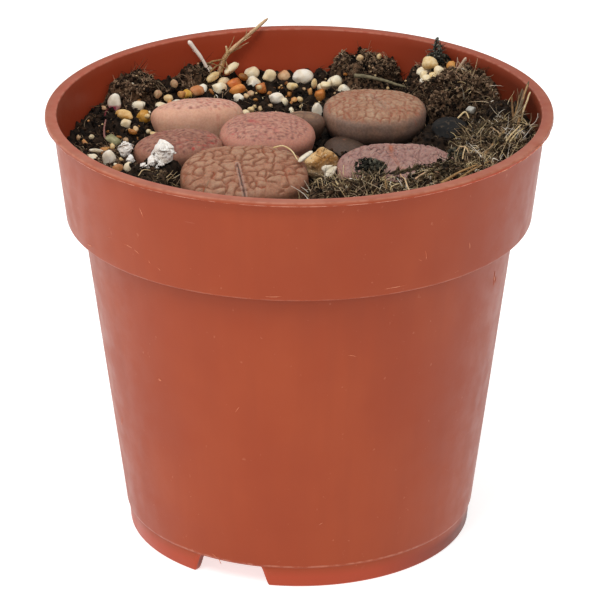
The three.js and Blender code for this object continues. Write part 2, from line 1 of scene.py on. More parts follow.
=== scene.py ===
import bpy
import numpy as np
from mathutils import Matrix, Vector


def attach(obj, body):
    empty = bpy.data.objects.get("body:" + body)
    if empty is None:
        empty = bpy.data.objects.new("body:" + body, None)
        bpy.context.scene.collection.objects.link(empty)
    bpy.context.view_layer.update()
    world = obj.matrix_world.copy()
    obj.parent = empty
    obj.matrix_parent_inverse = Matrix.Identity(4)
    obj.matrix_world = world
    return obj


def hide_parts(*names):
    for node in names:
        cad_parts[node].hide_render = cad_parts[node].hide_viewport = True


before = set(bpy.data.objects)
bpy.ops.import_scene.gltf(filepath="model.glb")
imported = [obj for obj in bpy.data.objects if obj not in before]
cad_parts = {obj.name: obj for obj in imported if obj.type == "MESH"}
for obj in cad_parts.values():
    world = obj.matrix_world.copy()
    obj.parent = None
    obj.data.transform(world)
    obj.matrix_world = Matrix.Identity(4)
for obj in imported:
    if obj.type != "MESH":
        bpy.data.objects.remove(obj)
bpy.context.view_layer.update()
mm = 0.001
fullTurn = 2 * np.pi


# Noise and small tools for numbers

# Repeatable random number from 0 to 1 for whole numbers: the fraction of a large sine.
def hash01(i, j, k, seed):
    s = np.sin(i * 127.1 + j * 311.7 + k * 191.9 + seed * 74.7) * 43758.5453
    return s - np.floor(s)


# Smooth noise from -1 to 1: random numbers on a cubic lattice, blended along each axis by f*f*(3 - 2f).
def softNoise(points, cell, seed):
    scaled = points / cell
    base = np.floor(scaled)
    f = scaled - base
    f = f * f * (3 - 2 * f)
    total = 0
    for corner in np.ndindex(2, 2, 2):
        weight = np.prod(np.where(corner, f, 1 - f), axis=-1)
        i, j, k = np.moveaxis(base + corner, -1, 0)
        total = total + weight * hash01(i, j, k, seed)
    return 2 * total - 1


# Noise of several sizes on top of each other, each half as large and about half as strong as the last.
def roughNoise(points, cell, octaves, seed, keep=0.55):
    return sum(keep**n * softNoise(points, cell / 2**n, seed + 17 * n) for n in range(octaves))


def smoothStep(x, low, high):
    t = np.clip((x - low) / (high - low), 0, 1)
    return t * t * (3 - 2 * t)


# 1 in the middle of a line or spot, falling off over a width.
def bell(distance, width, power=2):
    return np.exp(-((distance / width) ** power))


def stack(*columns):
    return np.stack(np.broadcast_arrays(*columns), -1)


def unit(v):
    return v / np.maximum(np.linalg.norm(v, axis=-1, keepdims=True), 1e-9)


# Meshes: grids of quads, loops joined to loops, and the Blender object

# Quads between neighbouring rows of a grid. Rows run down and columns anticlockwise, so the faces point out.
def gridQuads(rows, columns, closedRows=False):
    i = np.arange(rows if closedRows else rows - 1)[:, None]
    j = np.arange(columns)[None, :]
    nextRow, nextColumn = (i + 1) % rows, (j + 1) % columns
    corners = (i, j), (nextRow, j), (nextRow, nextColumn), (i, nextColumn)
    return np.stack([row * columns + column for row, column in corners], -1).reshape(-1, 4)


# A disc as a square grid (u, v) pressed round: x = u * sqrt(1 - v*v/2) and y = v * sqrt(1 - u*u/2).
# Gives the points, the quads, and the numbers of the points on its rim, anticlockwise.
def discGrid(count):
    u, v = np.meshgrid(np.linspace(-1, 1, count), np.linspace(-1, 1, count))
    points = stack(u * np.sqrt(1 - v * v / 2), v * np.sqrt(1 - u * u / 2)).reshape(-1, 2)
    n = np.arange(count * count).reshape(count, count)
    quads = np.stack([n[:-1, :-1], n[:-1, 1:], n[1:, 1:], n[1:, :-1]], -1).reshape(-1, 4)
    rim = np.concatenate([n[0, :-1], n[:-1, -1], n[-1, :0:-1], n[:0:-1, 0]])
    return points, quads, rim


# A closed body: a disc for its top, rings of points down from the disc's rim, and a point at the bottom.
def closeBody(top, quads, rim, rings, pole):
    count = len(rim)
    points = np.vstack([top, rings.reshape(-1, 3), pole])
    numbers = np.vstack([rim, len(top) + np.arange(len(rings) * count).reshape(-1, count)])
    upper, lower = numbers[:-1], numbers[1:]
    sides = np.stack([upper, lower, np.roll(lower, -1, 1), np.roll(upper, -1, 1)], -1).reshape(-1, 4)
    last = numbers[-1]
    fan = stack(last, len(points) - 1, np.roll(last, -1))
    return points, np.vstack([quads, sides]), fan


# Fans of triangles that close a ball of rings: round point 0 at its top and round its last point.
def poleFans(columns, last):
    j = np.arange(columns)
    following = (j + 1) % columns
    top, bottom = stack(0, 1 + j, 1 + following), stack(last, last - columns + following, last - columns + j)
    return np.vstack([top, bottom])


# Several meshes (points and one or two kinds of faces) as one.
def joinMeshes(meshes):
    first = np.cumsum([0] + [len(mesh[0]) for mesh in meshes])
    faces = [np.vstack([mesh[k] + n for mesh, n in zip(meshes, first)]) for k in range(1, len(meshes[0]))]
    return np.vstack([mesh[0] for mesh in meshes]), *faces


def addObject(name, data):
    thing = bpy.data.objects.new(name, data)
    bpy.context.scene.collection.objects.link(thing)
    return thing


# Makes a piece from points in millimetres, with values for its points as attributes for the material to read.
def addPiece(name, points, quads, triangles, material, slot, nodes=(), values=None, sharpAngle=None, smooth=True):
    mesh = bpy.data.meshes.new(name)
    groups = [np.asarray(g, np.int32) for g in (quads, triangles) if g is not None and len(g)]
    sizes = np.concatenate([np.full(len(g), g.shape[1], np.int32) for g in groups])
    loops = np.concatenate([g.ravel() for g in groups])
    mesh.vertices.add(len(points))
    mesh.vertices.foreach_set("co", (points * mm).astype(np.float32).ravel())
    mesh.loops.add(len(loops))
    mesh.loops.foreach_set("vertex_index", loops)
    mesh.polygons.add(len(sizes))
    mesh.polygons.foreach_set("loop_start", np.cumsum(sizes) - sizes)
    mesh.polygons.foreach_set("use_smooth", np.full(len(sizes), smooth))
    mesh.update(calc_edges=True)
    for key, value in (values or {}).items():
        mesh.attributes.new(key, "FLOAT", "POINT").data.foreach_set("value", value.astype(np.float32))
    if sharpAngle:
        mesh.set_sharp_from_angle(angle=np.radians(sharpAngle))
    mesh.materials.append(material)
    piece = addObject(name, mesh)
    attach(piece, "root")
    if nodes:
        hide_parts(*nodes)
    return piece


# Threads: each path is a row of points, each section a ring of points square to it, so a thread is a grid of
# steps by sides. All threads in a call have the same number of steps. The ends are closed.
def threadMesh(paths, radii, sides):
    count, steps, _ = paths.shape
    along = unit(np.gradient(paths, axis=1))
    guide = unit(stack(*np.moveaxis(along[:, :1, [1, 2, 0]], -1, 0)) + 0.3)
    across = unit(np.cross(along, guide))
    up = np.cross(along, across)
    turn = np.arange(sides) * fullTurn / sides
    around = np.cos(turn)[:, None] * across[:, :, None] + np.sin(turn)[:, None] * up[:, :, None]
    points = paths[:, :, None] + radii[:, :, None, None] * around
    first = np.arange(count)[:, None, None] * steps * sides
    quads = (first + gridQuads(steps, sides)[None]).reshape(-1, 4)[:, ::-1]
    fan = np.array([[0, k, k + 1] for k in range(1, sides - 1)])
    ends = np.concatenate([fan[:, ::-1], fan + (steps - 1) * sides])
    triangles = (first + ends[None]).reshape(-1, 3)
    return points.reshape(-1, 3), quads, triangles


# Threads as a piece, with one tone for each.
def addThreads(name, paths, radii, sides, tones, material, slot, nodes=()):
    points, quads, triangles = threadMesh(paths, radii, sides)
    values = {"tone": np.repeat(tones, paths.shape[1] * sides)}
    addPiece(name, points, quads, triangles, material, slot, nodes, values)


# Small lumps: balls of three rings between two poles, each dented, stretched, turned and put in its place.
def lumpMesh(centres, sizes, seed, sides, dent):
    draw = np.random.default_rng(seed)
    count = len(centres)
    up = np.cos(np.pi * np.arange(1, 4) / 4)
    angle = (np.arange(sides)[None] + 0.5 * (np.arange(3) % 2)[:, None]) * fullTurn / sides
    out = np.sin(np.pi * np.arange(1, 4) / 4)[:, None]
    ring = stack(out * np.cos(angle), out * np.sin(angle), up[:, None]).reshape(-1, 3)
    ball = np.vstack([[0, 0, 1], ring, [0, 0, -1]])
    dented = ball[None] * (1 - dent * draw.random((count, len(ball), 1)))
    turned = np.einsum("nij,npj->npi", randomTurns(draw, count), dented * sizes[:, None] / 2)
    points = (turned + centres[:, None]).reshape(-1, 3)
    first = np.arange(count)[:, None, None] * len(ball)
    quads = (first + 1 + gridQuads(3, sides)[None]).reshape(-1, 4)
    triangles = (first + poleFans(sides, len(ball) - 1)[None]).reshape(-1, 3)
    return points, quads, triangles


def addLumps(name, centres, sizes, seed, sides, dent, tones, material, slot, nodes=(), smooth=False):
    points, quads, triangles = lumpMesh(centres, sizes, seed, sides, dent)
    values = {"tone": np.repeat(tones, len(points) // len(centres))}
    addPiece(name, points, quads, triangles, material, slot, nodes, values, smooth=smooth)


# Random rotation matrices, from random quaternions.
def randomTurns(draw, count):
    w, x, y, z = unit(draw.normal(size=(count, 4))).T
    rows = [
        [1 - 2 * (y * y + z * z), 2 * (x * y - z * w), 2 * (x * z + y * w)],
        [2 * (x * y + z * w), 1 - 2 * (x * x + z * z), 2 * (y * z - x * w)],
        [2 * (x * z - y * w), 2 * (y * z + x * w), 1 - 2 * (x * x + y * y)],
    ]
    return np.moveaxis(np.array(rows), -1, 0)


# Materials: short helpers for the node trees

def colour(text):
    parts = np.array([int(text[k : k + 2], 16) for k in (1, 3, 5)]) / 255
    linear = np.where(parts < 0.04045, parts / 12.92, ((parts + 0.055) / 1.055) ** 2.4)
    return (*linear, 1)


def feed(tree, socket, value):
    if isinstance(value, bpy.types.NodeSocket):
        tree.links.new(value, socket)
    else:
        socket.default_value = colour(value) if isinstance(value, str) else value


def setInputs(node, values):
    for key, value in values.items():
        node.inputs[key].default_value = value


def mix(tree, share, low, high, blend="MIX"):
    node = tree.nodes.new("ShaderNodeMix")
    node.data_type = "RGBA"
    node.blend_type = blend
    feed(tree, node.inputs[0], share)
    feed(tree, node.inputs[6], low)
    feed(tree, node.inputs[7], high)
    return node.outputs[2]


# The point's own coordinates, in metres.
def objectPlace(tree):
    return tree.nodes.new("ShaderNodeTexCoord").outputs["Object"]


# Noise with features of a size in millimetres, from about 0.3 to 0.7. Stretch changes it along X, Y and Z.
def noise(tree, size, detail=3, stretch=None, roughness=0.55):
    where = objectPlace(tree)
    if stretch:
        mapping = tree.nodes.new("ShaderNodeMapping")
        mapping.inputs["Scale"].default_value = stretch
        tree.links.new(where, mapping.inputs["Vector"])
        where = mapping.outputs["Vector"]
    node = tree.nodes.new("ShaderNodeTexNoise")
    setInputs(node, {"Scale": 1 / (size * mm), "Detail": detail, "Roughness": roughness})
    tree.links.new(where, node.inputs["Vector"])
    return node.outputs["Fac"]


# Distance to the nearest edge of uneven cells of a size in millimetres, as a share of the size.
def cracks(tree, size):
    node = tree.nodes.new("ShaderNodeTexVoronoi")
    node.feature = "DISTANCE_TO_EDGE"
    node.inputs["Scale"].default_value = 1 / (size * mm)
    tree.links.new(objectPlace(tree), node.inputs["Vector"])
    return node.outputs["Distance"]


def spread(tree, value, low, high, toLow=0.0, toHigh=1.0):
    node = tree.nodes.new("ShaderNodeMapRange")
    node.interpolation_type = "SMOOTHSTEP"
    setInputs(node, dict(enumerate((low, high, toLow, toHigh), 1)))
    tree.links.new(value, node.inputs[0])
    return node.outputs[0]


# Soft patches: noise of a size and detail, from 0 where it is low to 1 where it is high.
def patches(tree, size, detail, low, high, toLow=0.0, toHigh=1.0, **kinds):
    return spread(tree, noise(tree, size, detail, **kinds), low, high, toLow, toHigh)


# Two colours, the second one in patches.
def blotched(tree, size, detail, low, high, first, second):
    return mix(tree, patches(tree, size, detail, low, high), first, second)


# A colour laid over another one, by a share of a mask.
def tint(tree, mask, share, below, over):
    return mix(tree, times(tree, mask, share), below, over)


def times(tree, a, b):
    return calculate(tree, "MULTIPLY", a, b)


def calculate(tree, operation, a, b):
    node = tree.nodes.new("ShaderNodeMath")
    node.operation = operation
    feed(tree, node.inputs[0], a)
    feed(tree, node.inputs[1], b)
    return node.outputs[0]


def attribute(tree, name):
    node = tree.nodes.new("ShaderNodeAttribute")
    node.attribute_name = name
    return node.outputs["Fac"]


def bump(tree, height, depth, before=None):
    node = tree.nodes.new("ShaderNodeBump")
    setInputs(node, {"Strength": 1, "Distance": depth * mm})
    tree.links.new(height, node.inputs["Height"])
    if before:
        tree.links.new(before, node.inputs["Normal"])
    return node.outputs["Normal"]


# A material whose paint function gives the sockets for colour and normal, and may give one for roughness.
def makeMaterial(name, paint, roughness=0.7, specular=0.5, subsurface=0):
    material = bpy.data.materials.new(name)
    material.use_nodes = True
    tree = material.node_tree
    shader = tree.nodes["Principled BSDF"]
    setInputs(shader, {"Roughness": roughness, "Specular IOR Level": specular})
    if subsurface:
        setInputs(shader, {"Subsurface Weight": subsurface, "Subsurface Scale": 1.5 * mm})
    for key, socket in paint(tree).items():
        tree.links.new(socket, shader.inputs[key])
    return material


# Stage: camera, floor and light

view = {"eye": (0.125, -593.85, 295.28), "target": (0.125, 0, 39.66), "lens": 227.7}
stage = {"floorSize": 6, "floorColours": ("#d3d3d2", "#dadad9"), "floorGlow": 0.7, "horizon": (0.54, 0.08),
         "zenith": 0.88}
lamps = {
    "keyLamp": {"at": (-0.5, -0.95, 1.55), "size": 0.6, "power": 10.8},
    "sideLamp": {"at": (-1.4, -1, 0.02), "size": 0.12, "power": 2.1},
}


def aim(thing, target):
    thing.rotation_mode = "QUATERNION"
    thing.rotation_quaternion = (Vector(target) - thing.location).to_track_quat("-Z", "Y")


def makeCamera():
    data = bpy.data.cameras.new("camera")
    data.lens = view["lens"]
    data.sensor_width = 36
    data.clip_start, data.clip_end = 0.05, 20
    camera = addObject("camera", data)
    camera.location = Vector(view["eye"]) * mm
    aim(camera, Vector(view["target"]) * mm)
    bpy.context.scene.camera = camera


def makeStage():
    scene = bpy.context.scene
    scene.view_settings.view_transform = "Standard"
    world = bpy.data.worlds.new("softStudio")
    world.use_nodes = True
    tree = world.node_tree
    height = tree.nodes.new("ShaderNodeSeparateXYZ")
    tree.links.new(tree.nodes.new("ShaderNodeTexCoord").outputs["Generated"], height.inputs[0])
    high = spread(tree, height.outputs["Z"], 0, 0.9)
    low = spread(tree, height.outputs["X"], -1, 1, *stage["horizon"])
    below = times(tree, calculate(tree, "SUBTRACT", 1, high), low)
    strength = calculate(tree, "ADD", times(tree, high, stage["zenith"]), below)
    tree.links.new(strength, tree.nodes["Background"].inputs["Strength"])
    tree.nodes["Background"].inputs["Color"].default_value = (1, 1, 1, 1)
    scene.world = world
    for name, lamp in lamps.items():
        data = bpy.data.lights.new(name, "AREA")
        data.size = lamp["size"]
        data.energy = lamp["power"]
        light = addObject(name, data)
        light.location = lamp["at"]
        aim(light, (0, 0, 0.04))
    half = stage["floorSize"] / 2
    mesh = bpy.data.meshes.new("floor")
    corners = [(-half, -half, 0), (half, -half, 0), (half, half, 0), (-half, half, 0)]
    mesh.from_pydata(corners, [], [(0, 1, 2, 3)])
    surface = makeMaterial("paleFloor", floorPaint, roughness=0.9, specular=0.2)
    shader = surface.node_tree.nodes["Principled BSDF"]
    setInputs(shader, {"Emission Color": (1, 1, 1, 1), "Emission Strength": stage["floorGlow"]})
    mesh.materials.append(surface)
    floor = addObject("floor", mesh)


def floorPaint(tree):
    return {"Base Color": mix(tree, noise(tree, 300, 2), *stage["floorColours"])}


makeCamera()
makeStage()
print("stage done")


# Pot: a section turned round the axis, its foot ring raised at three notches

pot = {
    "height": 74.4, "lipRadius": 42.5, "lipThickness": 0.7, "collarTop": 41.2, "collarFoot": 39.2, "ledge": 56.2,
    "bodyTop": 36.5, "bodyFoot": 29.95, "footHeight": 3.7, "footTop": 29.6, "footRadius": 29.3,
    "footInnerTop": 27.6, "footInner": 27.9, "wall": 0.75, "floor": 1.2, "drainRadius": 3.6, "drainRing": 18,
    "notchAngle": 246.5, "notchHalfBottom": 6.9, "notchHalfTop": 5.5, "columns": 300, "step": 1.6,
    "waviness": 0.07,
    "notchSides": (10.5, 14), "flash": 0.09, "edgeUp": (73, 73.6), "edgeDown": (73.9, 74.1),
    "glowUp": (73.4, 73.75), "glowDown": (73.9, 74.15), "glowFrom": (285, 325), "glowTo": (340, 350),
    "wallShadeHeights": (72.3, 75.8), "ledgeShadowHeights": (53.9, 55.4), "lipSheenBand": (0.45, 0.1),
}


# The pot's section as corners (radius, height, rounding, paleness of the edge), anticlockwise round the wall.
# The paleness is a painted highlight along rounded edges and, at the lip's lower edge, also the pale mould flash.
def potSection():
    p = pot
    lipBottom = p["height"] - p["lipThickness"]
    ledgeTop = p["ledge"] + p["wall"]
    floorTop = p["footHeight"] + p["floor"]
    lift = (ledgeTop - p["footHeight"]) / (p["ledge"] - p["footHeight"])
    innerTop = p["bodyFoot"] + (p["bodyTop"] - p["bodyFoot"]) * lift - p["wall"]
    return [
        (p["drainRadius"], p["footHeight"], 0.2, 0),
        (p["footInnerTop"], p["footHeight"], 0.3, 0),
        (p["footInner"], 0, 0.3, 0),
        (p["footRadius"], 0, 0.35, 0.1),
        (p["footTop"], p["footHeight"] - 0.1, 0.15, 0),
        (p["bodyFoot"], p["footHeight"] + 0.25, 0.3, 0.3),
        (p["bodyTop"], p["ledge"], 0.3, 0),
        (p["collarFoot"], p["ledge"], 0.4, 0.12),
        (p["collarTop"], lipBottom, 0.25, 0),
        (p["lipRadius"] - 0.05, lipBottom, 0.14, 0.9),
        (p["lipRadius"] - 0.12, p["height"], 0.28, 0.15),
        (p["collarTop"] - p["wall"], p["height"], 0.3, 0.2),
        (p["collarFoot"] - p["wall"], ledgeTop, 0.5, 0),
        (innerTop, ledgeTop, 0.4, 0),
        (p["bodyFoot"] - p["wall"], floorTop, 0.8, 0),
        (p["drainRadius"], floorTop, 0.2, 0),
    ]


# Rounds each corner c with the curve a(1-t)^2 + 2ct(1-t) + bt^2 between a and b, where the rounding starts on
# its two sides, and divides the straights between into short steps.
def roundedLoop(corners, step):
    corner = np.array(corners)
    place = corner[:, :2]
    toLast, toNext = np.roll(place, 1, 0) - place, np.roll(place, -1, 0) - place
    a = place + unit(toLast) * np.minimum(corner[:, 2:3], np.linalg.norm(toLast, axis=1, keepdims=True) * 0.45)
    b = place + unit(toNext) * np.minimum(corner[:, 2:3], np.linalg.norm(toNext, axis=1, keepdims=True) * 0.45)
    t = np.linspace(0, 1, 6)[None, :, None]
    curves = a[:, None] * (1 - t) ** 2 + 2 * place[:, None] * t * (1 - t) + b[:, None] * t**2
    pale = corner[:, 3:4] * np.sin(np.pi * t[0, :, 0])[None] ** 0.5
    loop = np.concatenate([curves, pale[:, :, None]], -1).reshape(-1, 3)
    after = np.roll(loop, -1, 0)
    parts = np.maximum(1, np.ceil(np.linalg.norm((after - loop)[:, :2], axis=1) / step)).astype(int)
    start = np.repeat(np.arange(len(loop)), parts)
    share = (np.arange(parts.sum()) - np.repeat(np.cumsum(parts) - parts, parts)) / parts[start]
    return loop[start] + (after - loop)[start] * share[:, None]


# Columns round the pot, closer together at the sides of the notches.
def potAngles():
    even = np.arange(pot["columns"]) * 360 / pot["columns"]
    near = np.linspace(*pot["notchSides"], 12)
    sides = [pot["notchAngle"] + third + side * near for third in (0, 120, 240) for side in (-1, 1)]
    return np.radians(np.unique(np.round(np.concatenate([even, *sides]) % 360, 1)))


# Radius of the pot's outside at a height.
def potOutside(z):
    lipBottom = pot["height"] - pot["lipThickness"]
    body = np.interp(z, [pot["footHeight"], pot["ledge"]], [pot["bodyFoot"], pot["bodyTop"]])
    collar = np.interp(z, [pot["ledge"], lipBottom], [pot["collarFoot"], pot["collarTop"]])
    return np.where(z > lipBottom, pot["lipRadius"] - 0.1, np.where(z > pot["ledge"], collar, body))


# 1 between two heights (or angles), with soft ends.
def band(value, up, down):
    return smoothStep(value, *up) * (1 - smoothStep(value, *down))


def makePot():
    section = roundedLoop(potSection(), pot["step"])[::-1]
    angle = potAngles()
    degrees = np.degrees(angle)
    r, z, pale = (column[:, None] for column in section.T)
    # The foot ring is raised at the notches, with slanting sides.
    fromNotch = (degrees - pot["notchAngle"] + 60) % 120 - 60
    across = np.abs(np.radians(fromNotch)) * pot["footRadius"]
    t = np.clip((pot["notchHalfBottom"] - across) / (pot["notchHalfBottom"] - pot["notchHalfTop"]), 0, 1)
    raised = 0.5 * t + 0.5 * smoothStep(t, 0, 1)
    height = z + np.maximum(pot["footHeight"] - 0.12 - z, 0) * raised[None]
    # The wall waves a little, and the lip's edge is ragged where the mould closed.
    round3 = stack(np.cos(angle)[None] * 20, np.sin(angle)[None] * 20, height * 0.4)
    radius = r - pot["waviness"] * (0.5 + 0.5 * softNoise(round3, 9, 3)) * smoothStep(z, 0, 8)
    flash = roughNoise(round3 * np.array([4, 4, 0]), 7, 3, 5)
    radius = radius + pale * band(z, pot["edgeUp"], pot["edgeDown"]) * pot["flash"] * (flash - 0.4)
    points = stack(radius * np.cos(angle), radius * np.sin(angle), height).reshape(-1, 3)
    quads = gridQuads(len(section), len(angle), closedRows=True)
    # A painted sheen on the lip's top, weaker towards the back.
    lipFoot, lipTop = (pot["height"] - below for below in pot["lipSheenBand"])
    onLipSheen = smoothStep(z, lipFoot, lipTop) * np.clip(0.75 - 0.45 * np.sin(angle), 0.3, 1)
    # Painted shade on the inner wall at the right, a painted shadow under the ledge, and painted shade on the
    # sides of the notches.
    inside = radius < potOutside(z) - 0.4
    onRight = np.clip(1.5 * np.cos(angle - 0.12) - 0.5, 0, 1)[None]
    paintedShade = inside * (1 - smoothStep(z, *pot["wallShadeHeights"])) * onRight
    underLedge = smoothStep(z, *pot["ledgeShadowHeights"]) * (z < pot["ledge"] + 0.1) * (r < pot["bodyTop"] + 0.2)
    paintedShade = paintedShade + 0.45 * (underLedge * (1 - inside))
    inNotch = (z < pot["footHeight"] - 0.4) * (r < pot["footRadius"] - 0.15)
    paintedShade = paintedShade + 3.6 * raised * (1 - raised) * inNotch
    # The lower edge of the lip at the right is painted redder: painted light shining through its thin plastic.
    glow = band(z, pot["glowUp"], pot["glowDown"]) * (r > pot["lipRadius"] - 0.6)
    glow = glow * band(degrees, pot["glowFrom"], pot["glowTo"])[None]
    values = {"pale": pale, "paintedLipSheen": onLipSheen, "glow": glow, "paintedShade": paintedShade, "inside": inside.astype(float)}
    values = {key: np.broadcast_to(value, height.shape).ravel() for key, value in values.items()}
    material = makeMaterial("terracottaPlastic", potPaint, roughness=0.38, specular=0.24)
    drillPot(addPiece("pot_moulding", points, quads, None, material, "pot_plastic", ["pot"], values, 40))


# Three drainage holes beside the middle one, cut through the floor.
def drillPot(piece):
    turn = np.radians(pot["notchAngle"] + np.array([0, 120, 240]))
    sides = 32
    side = np.arange(sides) * fullTurn / sides
    middle = stack(pot["drainRing"] * np.cos(turn), pot["drainRing"] * np.sin(turn), 0)[:, None, None]
    ring = stack(np.cos(side), np.sin(side), 0) * pot["drainRadius"]
    levels = np.array([pot["footHeight"] + 3, pot["footHeight"] - 1])[:, None, None] * np.array([0, 0, 1])
    points = (middle + ring[None, None] + levels[None]).reshape(-1, 3)
    mesh = bpy.data.meshes.new("drains")
    faces = []
    for first in range(0, len(points), 2 * sides):
        upper = list(range(first, first + sides))
        faces += (first + gridQuads(2, sides)).tolist() + [upper, [k + sides for k in reversed(upper)]]
    mesh.from_pydata((points * mm).tolist(), [], faces)
    drains = addObject("drains", mesh)
    cut = piece.modifiers.new("drainCut", "BOOLEAN")
    cut.object = drains
    cut.operation = "DIFFERENCE"
    bpy.context.view_layer.objects.active = piece
    bpy.ops.object.modifier_apply(modifier=cut.name)
    bpy.data.objects.remove(drains)


# Plastic: clouds and streaks, flecks and scratches, the inside painted lighter as bounce light, a painted sheen
# on the lip, painted shade and shadow inside, under the ledge and in the notches, the lip's painted glow, and the
# pale edges.
def potPaint(tree):
    body = blotched(tree, 22, 3, 0.35, 0.65, "#993d1b", "#9f431f")
    body = tint(tree, patches(tree, 3, 3, 0.35, 0.7, stretch=(1, 1, 0.06)), 0.35, body, "#943c1c")
    body = tint(tree, patches(tree, 1.1, 2, 0.7, 0.78), 0.35, body, "#bd7458")
    scratches = times(tree, spread(tree, cracks(tree, 14), 0.01, 0.003), patches(tree, 5, 2, 0.7, 0.78))
    body = tint(tree, scratches, 0.2, body, "#cf9078")
    # Painted bounce light: the inside is lighter and redder than the outside.
    body = tint(tree, attribute(tree, "inside"), 0.9, body, "#ad4428")
    # Painted sheen: the lip's top is paler in patches.
    lipSheen = times(tree, attribute(tree, "paintedLipSheen"), patches(tree, 3, 3, 0.3, 0.7, 0.3, 0.5))
    body = mix(tree, lipSheen, body, "#ca8b73")
    # Painted shade and shadow: dark brown on the inner wall at the right, under the ledge and in the notches.
    body = tint(tree, attribute(tree, "paintedShade"), 0.75, body, "#3a190d")
    # Painted light: the lip's lower edge at the right glows red-orange.
    body = tint(tree, attribute(tree, "glow"), 0.8, body, "#c0380c")
    # Pale edges: painted highlights along the rounded edges, and the pale flash at the lip.
    body = mix(tree, times(tree, attribute(tree, "pale"), patches(tree, 1.5, 3, 0.38, 0.62)), body, "#e0a58c")
    normal = bump(tree, noise(tree, 0.6, 3), 0.006, bump(tree, noise(tree, 6, 2), 0.05))
    return {"Base Color": body, "Normal": normal, "Roughness": patches(tree, 4, 4, 0.3, 0.7, 0.34, 0.46)}


makePot()


# Burrs and scratches that stand a little proud of the plastic: angle and height of the start, the way to the
# end in degrees and millimetres, and thickness.
burrs = [
    (-128.9, 69.3, 0.9, -1.6, 0.11), (-142.2, 61.4, 2.6, 0.4, 0.09), (-135.4, 61.6, 2.8, -0.3, 0.09),
    (-131.9, 61.2, 1.6, -0.6, 0.1), (-127.6, 60.1, 0.5, -0.5, 0.12), (-125.3, 59.2, 0.9, -0.4, 0.1),
    (-59.8, 63.1, 0.5, -1.6, 0.14), (-61.5, 61.8, 1.1, -0.5, 0.1), (-46.6, 62.2, 0.4, -1.2, 0.14),
    (-25.5, 51.5, 0.7, -2.8, 0.12), (-24.1, 50.2, 0.2, -1.2, 0.1), (-157.9, 23.4, -1.4, -1.9, 0.1),
    (-70, 57.4, 6, 0.1, 0.1), (-98, 57, 4, 0.15, 0.1), (-152, 57.6, 2.5, 0.2, 0.12), (-108, 33.5, 1.2, 1.1, 0.08),
    (-77, 44.6, 2.2, -0.4, 0.08), (-84, 12.3, 1.1, 0.4, 0.08), (-119, 4.6, 1.4, -0.5, 0.16),
    (-116.8, 4.2, 0.9, -1.2, 0.12), (-13, 73.9, -6, -0.1, 0.3), (-19.5, 73.82, -6, 0.05, 0.36),
    (-27, 73.85, -7, 0, 0.24), (-36, 73.8, -6, 0.05, 0.2), (-132.9, 36.1, 0.9, 0.05, 0.3),
    (-132.9, 36.3, 0.8, -0.3, 0.3),
]


def makeBurrs():
    angle, height, turn, climb, thick = (np.array(column)[:, None] for column in zip(*burrs))
    t = np.linspace(0, 1, 8)[None]
    bend = np.sin(np.pi * t) * 0.15 * np.sin(7 * angle)
    a, z = np.radians(angle + turn * t + bend), height + climb * t + bend * 0.5
    out = potOutside(z) - 0.04
    paths = stack(out * np.cos(a), out * np.sin(a), z)
    radii = thick / 2 * (1 - 0.6 * np.abs(2 * t - 1) ** 2)
    points, quads, triangles = threadMesh(paths, radii, 5)
    skin = makeMaterial("palePlastic", burrPaint, roughness=0.5, specular=0.3)
    addPiece("pot_burrs", points, quads, triangles, skin, "pot_plastic")


def burrPaint(tree):
    return {"Base Color": blotched(tree, 1, 2, 0.4, 0.6, "#bc5c38", "#dc9270")}


makeBurrs()
print("pot done")


# Heads: a face with its net of islands and its fissure, rounded over to a side that narrows to the root

